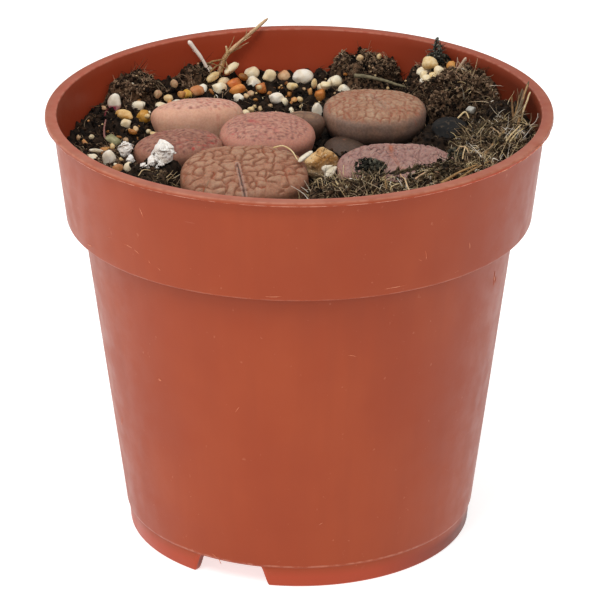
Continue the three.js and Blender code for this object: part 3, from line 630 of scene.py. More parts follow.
headForm = {
    "squareness": 2.25, "dentDepth": 0.03, "dentWidth": 0.14, "faceBulge": 2.4, "edgeBulge": 2.6,
    "faceEdge": 0.93, "depthPerWidth": 0.72, "leastBody": 5, "widest": 0.26, "sidePower": 1.3, "sideBulge": 1.9,
    "netStray": 0.7, "sideRows": 32,
}
heads = {
    "head_front": {
        "at": (-9, -14.6, 70.3), "size": (21, 16.4), "turn": 4, "lean": 12, "round": 2.6, "grid": 170,
        "shade": (0.25, 0.55), "slot": "skin_brown",
        "net": {
            "cell": 1.55, "depth": 0.46, "reach": 0.99, "merge": 0.27, "warp": 1.5, "pull": (0.9, 0.95),
            "rough": 0.05, "red": 0.6,
        },
        "veins": {"cell": 1.05, "amount": 0.2},
        "dots": {"size": 0.2, "share": 0.1, "amount": 0.2, "red": [((-6, -2.6), 1), ((7, -3), 1.5)]},
        "crease": {
            "points": [(-1.1, 0.2), (-0.8, -4), (-0.27, -8.1)], "width": 0.12, "depth": 0.3, "dark": 1,
            "red": 0.5, "spot": 1.8,
        },
        "paint": ("#b1896f", "#a7775d", "#855139", "#956750", "#b15733", "#634333", "#703f2b"),
    },
    "head_front_right": {
        "at": (16.2, -12, 70.7), "size": (20, 17), "turn": -2, "lean": 3, "round": 2.6, "grid": 160,
        "shade": (0.25, 0.55), "slot": "skin_mauve",
        "net": {
            "cell": 1.6, "depth": 0.24, "sharp": 1.9, "reach": 0.97, "merge": 0.45, "warp": 1.1,
            "pull": (1.3, 0.6), "rough": 0.07, "red": 0.1, "fade": (-7, 3),
        },
        "veins": {"cell": 0.85, "amount": 1.2, "pull": (1.45, 0.5), "fade": (-8, 3)},
        "dots": {"cell": 0.7, "share": 0.35, "amount": 0.4, "red": [((8, 0), 1.5)]},
        "crease": {
            "points": [(-1.24, 4.9), (-1, 0.5), (0, -2.9), (0.7, -4.6)], "width": 0.2, "depth": 0.2, "red": 0.9,
            "spot": 2.4,
            "folds": [
                [(-1, 2.3), (0.34, -0.84), (1.7, -3.6)], [(-1.2, 3), (0.85, -0.67), (2.9, -2.4)],
                [(-1.2, 2.4), (-1.54, -0.9), (-1.7, -3.7)], [(-1.3, 4), (2.2, 1), (4.6, -0.6)],
                [(-1.3, 4), (-3.4, 1.2), (-5, -0.8)], [(-1.2, 4.4), (1.2, 3.4), (3.6, 2.9)],
            ],
        },
        "paint": ("#aa887d", "#a27b73", "#855f58", "#a17269", "#b46440", "#5b3e39", "#573c3a"),
    },
    "head_centre": {
        "at": (-5.4, 4.4, 70.5), "size": (16.2, 12.4), "turn": 3, "lean": 8, "round": 3, "grid": 140,
        "shade": (0.35, 0.7), "slot": "skin_pink",
        "net": {
            "cell": 1.15, "depth": 0.1, "reach": 0.87, "warp": 0.9, "pull": (0.9, 1), "rough": 0.05, "red": 0.25,
        },
        "veins": {"cell": 0.85, "amount": 0.3, "pull": (0.9, 1)},
        "dots": {"share": 0.62, "amount": 0.75, "red": [((-6, -2), 1)]},
        "crease": {"points": [(-2.8, 0.7), (0.3, -1.9), (1.5, -3)], "depth": 0.12, "red": 0.75, "spot": 1.1},
        "paint": ("#c2907e", "#ba8573", "#a26c62", "#c28774", "#bc4948", "#8a5849", "#774f46"),
    },
    "head_rear_right": {
        "at": (12.9, 15.2, 70.4), "size": (17.7, 15), "turn": -2, "lean": 4.5, "round": 2.6, "grid": 150,
        "shade": (0.2, 0.44), "slot": "skin_orange_brown",
        "net": {
            "cell": 1.35, "depth": 0.2, "sharp": 1.7, "reach": 0.95, "merge": 0.35, "warp": 1.3, "pull": (1, 0.9),
            "rough": 0.08, "red": 0.55,
        },
        "veins": {"cell": 0.8, "amount": 0.3},
        "dots": {"cell": 0.75, "size": 0.35, "share": 0.5, "amount": 0.35, "red": [((-5, 1), 3), ((5, -3), 3)]},
        "crease": {
            "points": [(-0.6, 2.2), (0.7, 0), (1.9, -2.8)], "width": 0.24, "depth": 0.2, "dark": 0.3, "red": 0,
        },
        "paint": ("#b09076", "#a57c62", "#925d44", "#846c5f", "#984e37", "#332723", "#7d4d39"),
    },
    "head_rear_left": {
        "at": (-17.4, 15.4, 70.2), "size": (16.5, 10), "turn": 22, "lean": -12, "round": 3, "grid": 110,
        "shade": (0.45, 0.9), "slot": "skin_tan",
        "net": {"cell": 1.6, "depth": 0.05, "reach": 0.85, "warp": 0.8, "rough": 0.04, "red": 0.4},
        "veins": {"cell": 0.95, "amount": 0.35},
        "dots": {"cell": 0.85, "size": 0.32, "share": 0.6, "amount": 0.75, "red": [((3, -2), 3), ((5, 0), 2)]},
        "crease": {"depth": 0.1, "red": 0.2},
        "paint": ("#deaf99", "#daa994", "#c28e7c", "#e2b095", "#bd5d54", "#ad8265", "#8e524b"),
    },
    "head_left": {
        "at": (-20.3, -0.6, 70), "size": (15.4, 10), "turn": 21, "lean": 3, "round": 3, "grid": 120,
        "shade": (0.16, 0.46), "slot": "skin_red_brown",
        "net": {
            "cell": 1.3, "depth": 0.09, "reach": 0.93, "warp": 0.9, "pull": (0.9, 1), "rough": 0.06, "red": 0.3,
        },
        "veins": {"cell": 0.9, "amount": 0.25, "pull": (0.8, 1)},
        "dots": {
            "cell": 0.72, "share": 0.6, "amount": 0.9,
            "red": [((1, -4.2), 2.2), ((4.2, -2.4), 2), ((5.6, -0.6), 1.2)],
        },
        "crease": {"depth": 0.08, "red": 0.1},
        "paint": ("#aa7b69", "#a16f5c", "#83554a", "#ab7b66", "#bc362f", "#754e3f", "#683e36"),
    },
    "head_small": {
        "at": (0.9, 12, 69), "size": (7.2, 4.8), "turn": -15, "lean": 0, "round": 1.8, "grid": 70,
        "shade": (0.15, 0.5), "slot": "skin_grey_brown",
        "net": {"cell": 2.2, "depth": 0.03, "reach": 0.8, "warp": 0.5, "rough": 0.03, "red": 0},
        "veins": {"cell": 0.95, "amount": 0.15},
        "dots": {"size": 0.25, "share": 0.2, "amount": 0.3, "red": [((9, 9), 1)]},
        "crease": {"points": [(0, 1), (0, -1)], "width": 0.3, "depth": 0.05, "red": 0},
        "paint": ("#8c6e55", "#826453", "#6d5240", "#695243", "#7f4f39", "#413127", "#4e3427"),
    },
}
# Order of the paint colours; the foot colour is painted shade low on each head's side.
paintNames = ("top", "face", "groove", "side", "blush", "foot", "vein")
usual = {
    "net": {"sharp": 1.8, "merge": 0.3, "pull": (1, 1)}, "veins": {"pull": (1, 1)},
    "dots": {"cell": 0.8, "size": 0.3},
    "crease": {"points": [(0, 2.5), (0, -2.5)], "width": 0.35, "dark": 0, "spot": 1},
}
for spec in heads.values():
    for key, values in usual.items():
        spec[key] = {**values, **spec[key]}
    spec["paint"] = dict(zip(paintNames, spec["paint"]))
rearLobe = {
    "at": (7.7, 8.6, 65.4), "size": (7.4, 7.4), "turn": 20, "grid": 80,
    "net": {**heads["head_rear_right"]["net"], "reach": 0.1, "depth": 0, "red": 0},
    "dots": {**heads["head_rear_right"]["dots"], "red": [((99, 99), 1)]},
    "crease": {"points": [(0, 1), (0, -1)], "width": 0.3, "depth": 0, "dark": 0, "red": 0, "spot": 1},
    "shade": (0.35, 0.9),
    "paint": {**heads["head_rear_right"]["paint"], "top": "#5d483e", "face": "#5d483e", "side": "#544236"},
}


# Outline of a head, a slightly squared ellipse with a small dent at both ends of the fissure:
# x = w/2 * sign(c) * |c|^p and y = d/2 * sign(s) * |s|^p, where c and s are the cosine and sine of the angle.
def headOutline(size, angle):
    power = 2 / headForm["squareness"]
    c, s = np.cos(angle), np.sin(angle)
    dent = 1 - headForm["dentDepth"] * bell(c, headForm["dentWidth"])
    x = size[0] / 2 * dent * np.sign(c) * np.abs(c) ** power
    y = size[1] / 2 * dent * np.sign(s) * np.abs(s) ** power
    return stack(x, y)


# Depth of the face at a share of the way out: round * (1 - (1 - share^2.4)^(1/2.6)).
def faceDrop(share, rounding):
    inner = np.maximum(1 - share ** headForm["faceBulge"], 0)
    return rounding * (1 - inner ** (1 / headForm["edgeBulge"]))


def headDepth(spec):
    return max(headForm["depthPerWidth"] * spec["size"][0], spec["round"] + headForm["leastBody"])


# Share of the widest outline at a depth below the girth: (1 - t^1.3)^(1/1.9), with t from 0 at the girth to 1.
def sideShare(t):
    return np.maximum(1 - t ** headForm["sidePower"], 0) ** (1 / headForm["sideBulge"])


# Shares and depths down a head's side, from the face's edge over the rounding to the root, in even steps.
def sideProfile(spec):
    below, rounding = headDepth(spec), spec["round"]
    girth = max(headForm["widest"] * below, rounding)
    face = 1 - (1 - headForm["faceEdge"]) * (1 - np.linspace(0, 1, 60)) ** 2.6
    t = np.linspace(0, 1, 200) ** 1.2
    share = np.concatenate([face, sideShare(t)[1:]])
    down = np.concatenate([faceDrop(face, rounding), girth + (below - girth) * t[1:]])
    width = np.sqrt(np.prod(spec["size"])) / 2
    length = np.concatenate([[0], np.cumsum(np.hypot(np.diff(share) * width, np.diff(down)))])
    rows = length[-1] * np.linspace(0, 1, headForm["sideRows"]) ** 1.35
    return np.interp(rows, length, share)[1:-1], np.interp(rows, length, down)[1:-1]


# An uneven net of cells: how far a point is from the nearest groove, as a share of a cell, how deep that groove
# is, how far the cell's middle is, and a random number of the cell. A groove lies between the two nearest cell
# middles, and some pairs of cells are joined by a shallow one.
def netOf(x, y, cell, seed, merge):
    column, row = np.floor(x / cell), np.floor(y / cell)
    least = (1 - headForm["netStray"]) / 2
    found = []
    for i, j in np.ndindex(3, 3):
        a, b = column + i - 1, row + j - 1
        dx = (a + least + headForm["netStray"] * hash01(a, b, 0, seed)) * cell - x
        dy = (b + least + headForm["netStray"] * hash01(a, b, 0, seed + 1)) * cell - y
        found.append(stack(np.hypot(dx, dy), a, b))
    found = np.stack(found)
    order = np.argsort(found[..., 0], axis=0)[:2]
    nearest, second = (np.take_along_axis(found, order[k][None, :, None], 0)[0] for k in (0, 1))
    distance = (second[:, 0] - nearest[:, 0]) / cell
    joined = hash01(nearest[:, 1] + second[:, 1], nearest[:, 2] + second[:, 2], 0, seed + 9) < merge
    own = hash01(nearest[:, 1], nearest[:, 2], 0, seed + 5)
    return distance, np.where(joined, 0.25, 1.0), nearest[:, 0] / cell, own


# Distance from places to a broken line, as the least distance to its straight parts.
def lineDistance(x, y, points):
    place, ends = stack(x, y), np.array(points, float)
    found = []
    for a, b in zip(ends[:-1], ends[1:]):
        t = np.clip((place - a) @ (b - a) / ((b - a) @ (b - a)), 0, 1)
        found.append(np.linalg.norm(place - a - t[:, None] * (b - a), axis=1))
    return np.min(found, axis=0)


# Where a net is fainter towards the front: its share, from where it is gone to where it is full.
def fadeOf(look, y):
    return smoothStep(y, *look["fade"]) if "fade" in look else 1


faceForm = {
    "stray": ((0.35, 1.9, 0), (0.16, 0.8, 20)), "lineWidth": 0.11, "veinWidth": 0.14, "foldWidth": 0.2,
    "glowWidth": 0.45, "veinMerge": 0.25, "redFrom": 0.45, "veinDepth": 0.07, "dotDepth": 0.07, "foldDepth": 0.14,
}


# Relief of a face and the masks for its colours, for points in the head's own frame. The islands rise between
# the lines of an uneven net, fine veins are the broken lines of a smaller net, dots sit in some cells of a
# third, and the crease and its folds are lines of their own, red or orange where the crease starts.
def faceLook(spec, x, y, share, seed):
    net, veins, dots, crease = (spec[key] for key in ("net", "veins", "dots", "crease"))
    flat, look = stack(x, y, 0), faceForm
    strayX, strayY = (sum(size * softNoise(flat, cell, seed + axis + step) for size, cell, step in look["stray"])
                      for axis in (2, 3))
    wx, wy = x * net["pull"][0] + net["warp"] * strayX, y * net["pull"][1] + net["warp"] * strayY
    distance, strength, _, _ = netOf(wx, wy, net["cell"], seed, net["merge"])
    cover = 1 - smoothStep(share, net["reach"] - 0.06, net["reach"] + 0.03)
    strength = strength * fadeOf(net, y)
    rise = 1 - np.maximum(0, 1 - net["sharp"] * distance) ** 2
    line = bell(distance, look["lineWidth"]) * strength
    # Fine veins and dots
    vx, vy = x * veins["pull"][0] + 0.8 * strayX, y * veins["pull"][1] + 0.8 * strayY
    fine = netOf(vx, vy, veins["cell"], seed + 40, look["veinMerge"])
    broken = smoothStep(softNoise(flat, 0.9, seed + 41), -0.2, 0.3)
    vein = veins["amount"] * cover * bell(fine[0], look["veinWidth"]) * fine[1] * broken * fadeOf(veins, y)
    _, _, near, own = netOf(vx * 0.8, vy * 1.1, dots["cell"], seed + 60, 0)
    spot = bell(near, dots["size"], 4)
    dot = dots["amount"] * cover * spot * (own < dots["share"])
    redNear = [((x - cx) ** 2 + (y - cy) ** 2) / size**2 for (cx, cy), size in dots["red"]]
    redHere = np.max([np.exp(-away) for away in redNear], axis=0)
    redDot = (share < 1) * redHere * spot * (own > look["redFrom"])
    # The crease and its folds
    wander = softNoise(flat, 1.5, seed + 4)
    away = lineDistance(x + 0.02 * wander, y, crease["points"])
    slit = bell(away, crease["width"])
    folds = [lineDistance(x + 0.15 * wander, y, fold) for fold in crease.get("folds", [])]
    fold = np.sum([bell(d, look["foldWidth"]) for d in folds], axis=0)
    start = np.hypot(x - crease["points"][0][0], y - crease["points"][0][1])
    glow = crease["red"] * bell(away, look["glowWidth"]) * (0.3 + 0.7 * bell(start, crease["spot"]))
    relief = -cover * strength * net["depth"] * (1 - rise) - crease["depth"] * slit
    relief = relief + net["rough"] * cover * roughNoise(flat, 0.8, 2, seed + 6)
    relief = relief - look["veinDepth"] * vein - look["dotDepth"] * dot - look["foldDepth"] * fold
    redPatch = smoothStep(softNoise(flat, 2.4, seed + 7), 0.05, 0.6)
    blush = np.maximum(net["red"] * cover * np.maximum(line, 0.7 * vein) * redPatch, np.maximum(glow, redDot))
    pale = crease["dark"] * bell(away - 2.4 * crease["width"], crease["width"])
    return relief, {"groove": cover * strength * (1 - rise), "slit": crease["dark"] * slit, "dome": cover * rise,
                    "vein": np.maximum(np.maximum(vein, dot), 0.3 * fold), "blush": blush, "rim": pale}


# Turns a head about Z, leans it about X to the front, and moves it to its place.
def placeHead(spec, points):
    a, b = np.radians(spec["turn"]), np.radians(spec["lean"])
    turn = np.array([[np.cos(a), -np.sin(a), 0], [np.sin(a), np.cos(a), 0], [0, 0, 1]])
    lean = np.array([[1, 0, 0], [0, np.cos(b), -np.sin(b)], [0, np.sin(b), np.cos(b)]])
    return points @ (lean @ turn).T + np.array(spec["at"])


def makeHead(name, spec, seed, material, nodes):
    disc, quads, rim = discGrid(spec["grid"])
    angle, radius = np.arctan2(disc[:, 1], disc[:, 0]), np.hypot(disc[:, 0], disc[:, 1])
    faceShare = headForm["faceEdge"] * radius
    faceXY = headOutline(spec["size"], angle) * faceShare[:, None]
    sideShares, sideDowns = sideProfile(spec)
    sideXY = headOutline(spec["size"], angle[rim])[None] * sideShares[:, None, None]
    xy = np.vstack([faceXY, sideXY.reshape(-1, 2)])
    columns = len(rim)
    share = np.concatenate([faceShare, np.repeat(np.where(sideDowns <= spec["round"], sideShares, 2), columns)])
    down = np.concatenate([faceDrop(faceShare, spec["round"]), np.repeat(sideDowns, columns)])
    relief, values = faceLook(spec, xy[:, 0], xy[:, 1], share, seed)
    onFace = share < 1.5
    body = stack(xy[:, 0], xy[:, 1], -down)
    swell = 0.22 * softNoise(body, 6, seed + 8) + 0.05 * roughNoise(body, 1.6, 2, seed + 10)
    outward = unit(stack(xy[:, 0], xy[:, 1], 0 * down)) * smoothStep(share, 0.7, 1)[:, None]
    body = body + outward * swell[:, None]
    unevenTop = 0.3 * softNoise(body, 7, seed + 9) * (1 - smoothStep(share, 0.8, 1.2))
    body[:, 2] += np.where(onFace, relief, 0) + unevenTop
    values = {key: np.where(onFace, value, 0) for key, value in values.items()}
    values["depth"] = down / headDepth(spec)
    values["edge"] = smoothStep(share, spec["net"]["reach"] - 0.1, spec["net"]["reach"] + 0.05)
    pole = np.array([[0, 0, -headDepth(spec)]])
    sides = body[len(disc):].reshape(-1, columns, 3)
    points, quads, fan = closeBody(body[: len(disc)], quads, rim, sides, pole)
    values = {key: np.append(value, 0.0) for key, value in values.items()}
    addPiece(name, placeHead(spec, points), quads, fan, material, spec["slot"], nodes, values)


creaseColours = {"rim": "#b7a39b", "slit": "#4f4a48"}


# Skin: the face's colour with paler island tops, grooves, red lines and dots over it, going over to the side's
# and, towards the root, to the foot's, a painted shade that darkens the lower side.
def skinOf(name, colours, shade):
    def paint(tree):
        speck = patches(tree, 0.35, 3, 0.35, 0.65)
        patch = patches(tree, 3.5, 2, 0.35, 0.65)
        face = mix(tree, times(tree, attribute(tree, "dome"), patch), colours["face"], colours["top"])
        side = tint(tree, patch, 0.4, colours["side"], colours["face"])
        streaks = patches(tree, 1.5, 2, 0.35, 0.7, stretch=(1, 1, 0.15))
        side = tint(tree, streaks, 0.08, side, colours["foot"])
        skin = mix(tree, attribute(tree, "edge"), face, side)
        # Painted shade: the side darkens to the foot colour with depth below the face.
        skin = mix(tree, spread(tree, attribute(tree, "depth"), *shade), skin, colours["foot"])
        lines = [("groove", 0.8), ("vein", 0.85), ("blush", 0.75), ("rim", 0.5), ("slit", 0.95)]
        for mask, share in lines:
            skin = tint(tree, attribute(tree, mask), share, skin, {**creaseColours, **colours}[mask])
        skin = mix(tree, 0.22, skin, mix(tree, speck, "#6b4a3e", "#f0d9c8"), "SOFT_LIGHT")
        return {"Base Color": skin, "Normal": bump(tree, noise(tree, 0.3, 3), 0.035)}

    return makeMaterial(name, paint, roughness=0.62, specular=0.35, subsurface=0.12)


for number, (name, spec) in enumerate(heads.items()):
    makeHead(name + "_skin", spec, 11 + 7 * number, skinOf(name + "Skin", spec["paint"], spec["shade"]), [name])
    if name == "head_rear_right":
        lobe = {**spec, **rearLobe}
        lobeSkin = skinOf(name + "LobeSkin", lobe["paint"], lobe["shade"])
        makeHead(name + "_lobe", lobe, 16 + 7 * number, lobeSkin, [name])
allBodies = [*heads.values(), lobe]
print("heads done")


# Soil: its height from a level, a climb to the wall, clods and lumps, and a socket under each head

soil = {
    "level": 64.3, "rearRise": 2.2, "leftRise": 1.2, "slopeFrom": 24, "slopeTo": 38, "lump": 0.45, "grid": 260,
    "lumps": ((0.55, 2.1, 61), (0.4, 1, 62), (0.25, 0.55, 63)), "gap": 0.3,
}
clods = [
    ((-31, 25.8), (8, 6), 6.8), ((-23.5, 31), (4, 5), 3.6), ((-18.5, 34.5), (5.5, 4), 5),
    ((12, 36.5), (7.5, 5), 6.2), ((22.5, 29), (5, 5), 6.4), ((28.5, 24), (9.5, 8.5), 7.4),
    ((35.5, 12), (6.5, 9), 5.6), ((35, -3), (10, 11), 6), ((27, -21), (13, 11), 7.8), ((10, -31.5), (13, 7.5), 8),
    ((25.5, 9.5), (6.5, 6), 2.4), ((-34, -4), (9, 12), 2.4), ((-22.8, -9.6), (4.5, 4), 4.4),
    ((-25.5, -13.5), (6, 6), 3.9), ((-18, -30), (15, 9), 4),
]


# Height of the soil at a place: the level and its climb, or a clod's top * (1 - away^4), whichever is higher,
# plus small lumps from two crossed pairs of waves.
def soilHeight(x, y):
    nearWall = smoothStep(np.hypot(x, y), soil["slopeFrom"], soil["slopeTo"])
    climb = soil["rearRise"] * smoothStep(y, -10, 20) + soil["leftRise"] * smoothStep(-x, 5, 30)
    height = soil["level"] + nearWall * climb
    for (cx, cy), (hx, hy), top in clods:
        away = ((x - cx) / hx) ** 2 + ((y - cy) / hy) ** 2
        height = np.maximum(height, soil["level"] + top * (1 - np.minimum(away, 9) ** 2))
    wide = np.sin(1.7 * x + 0.9 * y) * np.sin(1.3 * y - 0.8 * x)
    fine = np.sin(2.9 * x + 1) * np.sin(2.6 * y)
    return height + soil["lump"] * (wide + fine)


# How far out a place is in a head, as a share of its outline, and the height of the head's underside there.
def headAt(spec, x, y):
    a = np.radians(spec["turn"])
    dx, dy = x - spec["at"][0], (y - spec["at"][1]) / np.cos(np.radians(spec["lean"]))
    px, py = np.cos(a) * dx + np.sin(a) * dy, np.cos(a) * dy - np.sin(a) * dx
    angle = np.arctan2(py / spec["size"][1], px / spec["size"][0])
    for _ in range(3):
        edge = headOutline(spec["size"], angle)
        angle = angle + np.arctan2(py, px) - np.arctan2(edge[..., 1], edge[..., 0])
    share = np.hypot(px, py) / np.linalg.norm(headOutline(spec["size"], angle), axis=-1)
    below = headDepth(spec)
    girth = max(headForm["widest"] * below, spec["round"])
    t = (1 - np.minimum(share, 1) ** headForm["sideBulge"]) ** (1 / headForm["sidePower"])
    slope = np.tan(np.radians(spec["lean"])) * dy
    return share, spec["at"][2] - girth - (below - girth) * t + slope


nudges = {"grit_stained": (0.2, -1.3, -0.3)}


# Middle, axes and half sizes of a packed grain, from the spread of its points, and a small nudge to its place.
def grainBox(node):
    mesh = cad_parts[node].data
    flat = np.empty(len(mesh.vertices) * 3, np.float32)
    mesh.vertices.foreach_get("co", flat)
    points = np.unique(np.round(flat.reshape(-1, 3) / mm, 4), axis=0)
    middle = (points.max(0) + points.min(0)) / 2
    _, axes = np.linalg.eigh(np.cov((points - middle).T))
    if np.linalg.det(axes) < 0:
        axes[:, 0] *= -1
    along = (points - middle) @ axes
    low, high = along.min(0), along.max(0)
    return middle + axes @ ((low + high) / 2) + nudges.get(node, 0), axes, (high - low) / 2


loose = "sandstone_pebble white_pebble slate_stone grit_stained white_crumb_left white_crumb_right".split()
loose += [f"grit_cream_{k:02d}" for k in range(1, 24)] + [f"grit_orange_{k:02d}" for k in range(1, 12)]
looseBoxes = {node: grainBox(node) for node in loose}


# The least distance to a grain or stone, as a share of its half width, and the height of its lower part.
def nearestGrain(x, y):
    share, low = np.full(x.shape, 9.0), np.full(x.shape, 99.0)
    for middle, _, half in looseBoxes.values():
        away = np.hypot(x - middle[0], y - middle[1]) / np.sort(half)[1:].mean()
        low = np.where(away < share, middle[2] - 0.35 * half.mean(), low)
        share = np.minimum(share, away)
    return share, low


# The soil with its sockets: inside a head's outline it stays under the head, and under a grain it stays low.
def groundHeight(x, y):
    height = soilHeight(x, y)
    share, low = nearestGrain(x, y)
    height = height - np.maximum(height - low, 0) * (1 - smoothStep(share, 0.9, 1.5))
    for spec in allBodies:
        share, underside = headAt(spec, x, y)
        height = np.where(share < 1.0, np.minimum(height, underside - 0.25), height)
    return height


# Smallest share over all heads: under 1 inside a head.
def nearestHead(x, y):
    return np.min([headAt(spec, x, y)[0] for spec in allBodies], axis=0)


def collarInside(z):
    foot, top = pot["ledge"] + pot["wall"], pot["height"] - pot["lipThickness"]
    return np.interp(z, [foot, top], [pot["collarFoot"] - pot["wall"], pot["collarTop"] - pot["wall"]])


# Points of the soil's surface over places (x, y), roughened along its own slope by noise of three sizes, and
# the direction that the surface faces. It stays smooth where a head stands and at the wall.
def soilSurface(x, y):
    step = 0.2
    rightward = groundHeight(x + step, y) - groundHeight(x - step, y)
    backward = groundHeight(x, y + step) - groundHeight(x, y - step)
    facing = unit(stack(-np.clip(rightward, -1, 1), -np.clip(backward, -1, 1), 2 * step + 0.6))
    place = stack(x, y, groundHeight(x, y))
    lumps = sum(height * softNoise(place, size, seed) for height, size, seed in soil["lumps"])
    atWall = smoothStep(np.hypot(x, y) / collarInside(place[:, 2]), 0.97, 1)
    free = smoothStep(nearestHead(x, y), 0.98, 1.06) * (1 - atWall) * smoothStep(nearestGrain(x, y)[0], 0.9, 1.5)
    tufts = 1.0 * softNoise(place, 2.8, 64) * mossiness(x, y) + 0.9 * softNoise(place, 2.4, 65) * brownness(x, y)
    return place + facing * ((lumps + tufts) * free)[:, None], facing


# The soil's top as a disc of points, then rings down the pot's inside.
def makeSoil():
    disc, quads, rim = discGrid(soil["grid"])
    angle = np.arctan2(disc[:, 1], disc[:, 0])
    nominal = collarInside(67)
    edge = collarInside(soilHeight(nominal * np.cos(angle), nominal * np.sin(angle))) - 0.15
    place, _ = soilSurface(disc[:, 0] * edge, disc[:, 1] * edge)
    rimPlace = place[rim]
    turn = np.arctan2(rimPlace[:, 1], rimPlace[:, 0])
    gap = soil["gap"]
    ledgeTop, floorTop = pot["ledge"] + pot["wall"] + gap, pot["footHeight"] + pot["floor"] + gap
    climb = (ledgeTop - pot["footHeight"]) / (pot["ledge"] - pot["footHeight"])
    narrow = pot["bodyFoot"] + (pot["bodyTop"] - pot["bodyFoot"]) * climb - pot["wall"] - gap
    foot = pot["bodyFoot"] - pot["wall"] - 0.2
    levels = [(collarInside(ledgeTop) - gap, ledgeTop), (narrow, ledgeTop), (foot, floorTop)]
    rings = np.array([stack(r * np.cos(turn), r * np.sin(turn), h) for r, h in levels])
    points, quads, fan = closeBody(place, quads, rim, rings, np.array([[0, 0, floorTop]]))
    moss = mossiness(points[:, 0], points[:, 1])
    brown = brownness(points[:, 0], points[:, 1])
    addPiece("soil_peat", points, quads, fan, peat, "peat", ["soil"], {"moss": moss, "brown": brown})


# 1 inside an oval (middle, half sizes), with a soft edge from a share of its half sizes on.
def inOval(x, y, middle, half, start):
    return 1 - smoothStep(np.hypot((x - middle[0]) / half[0], (y - middle[1]) / half[1]), start, 1.1)


mossSpots = [((33, -8), (13, 17), 0.75, 1), ((16, -29), (19, 9), 0.75, 1), ((-20, -20), (8, 9), 0.6, 0.6),
             ((32, 19), (7, 7), 0.6, 0.5)]
barePatch = (36, 13), (5, 6), 0.6


# Where the soil is mossy, from 0 to 1: the banks at the right and in front of the right heads.
def mossiness(x, y):
    most = np.max([share * inOval(x, y, *spot) for *spot, share in mossSpots], axis=0)
    return most * (1 - 0.8 * inOval(x, y, *barePatch))


brownSpots = [((28.5, 24), 12), ((12, 36.5), 9), ((-31, 25.8), 9), ((-18.5, 34.5), 6), ((-33, -2), 8)]


# Where the soil is brown and loose: the clods at the back and at the left.
def brownness(x, y):
    away = [np.hypot(x - cx, y - cy) / size for (cx, cy), size in brownSpots]
    return 1 - smoothStep(np.min(away, axis=0), 0.5, 1)


def peatPaint(tree):
    dark = blotched(tree, 1.2, 4, 0.35, 0.62, "#0f0b08", "#33261c")
    brown = blotched(tree, 0.8, 4, 0.38, 0.65, "#1d150f", "#7a5d46")
    moss = blotched(tree, 0.8, 4, 0.38, 0.65, "#19120c", "#6a523d")
    ground = mix(tree, attribute(tree, "brown"), dark, brown)
    ground = mix(tree, attribute(tree, "moss"), ground, moss)
    normal = bump(tree, noise(tree, 0.5, 4, roughness=0.7), 0.35)
    return {"Base Color": ground, "Normal": normal}


peat = makeMaterial("darkPeat", peatPaint, roughness=0.95, specular=0.2)
makeSoil()
print("soil done")


# Crumbs, moss and fibres on the soil

# Colours run from the first to the last along a piece's tone.
def tonePaint(first, middle, last, grain=0.4):
    def paint(tree):
        tone = attribute(tree, "tone")
        base = mix(tree, spread(tree, tone, 0.5, 1), mix(tree, spread(tree, tone, 0, 0.5), first, middle), last)
        speck = mix(tree, spread(tree, noise(tree, grain, 3), 0.35, 0.65), "#5a5a5a", "#a8a8a8")
        return {"Base Color": mix(tree, 0.6, base, speck, "OVERLAY")}

    return paint


# Skins for small things: three colours along the tone, roughness, specular and, where it differs, the grain.
# Each is then made into its material.
toned = {
    "darkCrumb": ("#0c0907", "#221812", "#4a3626", 0.95, 0.15),
    "brownCrumb": ("#130c08", "#432f22", "#a88a6e", 0.95, 0.15),
    "mossCrumb": ("#19120b", "#4a3727", "#957b5e", 0.95, 0.15),
    "lumpCrumb": ("#171712", "#413f35", "#868270", 0.95, 0.15),
    "stumpSkin": ("#2f2f2a", "#74756a", "#bab7a6", 0.9, 0.2),
    "mossThread": ("#261c12", "#7a6243", "#f0ddb8", 0.8, 0.2),
    "peatFibre": ("#261c15", "#725940", "#d2ba96", 0.8, 0.2),
    "paleFibre": ("#b59e76", "#e4d3b4", "#fff8ec", 0.6, 0.3),
    "rootSkin": ("#7d5936", "#bf955f", "#efdcb8", 0.6, 0.3),
    "twigSkin": ("#4b4433", "#8d8266", "#b9ad8e", 0.8, 0.2),
    "redStem": ("#7d2433", "#9c4a4c", "#b98a7c", 0.5, 0.3),
    "paleStraw": ("#c9b2a0", "#ecd9c9", "#fff4ea", 0.55, 0.3),
    "dullStraw": ("#46352a", "#857055", "#d6c3a4", 0.7, 0.2),
    "mossLeaf": ("#30271a", "#6b5a3e", "#a08a66", 0.7, 0.25),
    "fineCreamGrit": ("#cdb184", "#ecd6ab", "#fcf1da", 0.5, 0.4, 0.5),
    "fineOrangeGrit": ("#8a4a20", "#c07c34", "#deb169", 0.5, 0.4, 0.5),
}
for name, (first, middle, last, roughness, specular, *grain) in toned.items():
    toned[name] = makeMaterial(name, tonePaint(first, middle, last, *grain), roughness, specular)


# Random places on the soil, kept by the chance that a function gives for them, clear of heads and wall.
def scatter(count, seed, chance, clear=1.04, wallGap=0.8):
    draw = np.random.default_rng(seed)
    tries = count * 30
    away = np.sqrt(draw.random(tries)) * 40
    angle = draw.random(tries) * fullTurn
    x, y = away * np.cos(angle), away * np.sin(angle)
    wanted = draw.random(tries) < chance(x, y)
    x, y = x[wanted][: 3 * count], y[wanted][: 3 * count]
    inside = (nearestHead(x, y) > clear) & (np.hypot(x, y) < collarInside(soilHeight(x, y)) - wallGap)
    inside &= nearestGrain(x, y)[0] > 1.3
    return soilSurface(x[inside][:count], y[inside][:count])


# Keeps points inside the pot's wall and under its highest straw.
def keepInside(points, gap):
    away = np.hypot(points[..., 0], points[..., 1])
    limit = np.where(points[..., 2] < pot["height"] + 0.4, collarInside(points[..., 2]) - gap, 41.5)
    shrink = np.minimum(1, limit / np.maximum(away, 1e-6))
    return stack(points[..., 0] * shrink, points[..., 1] * shrink, np.minimum(points[..., 2], 76.5))


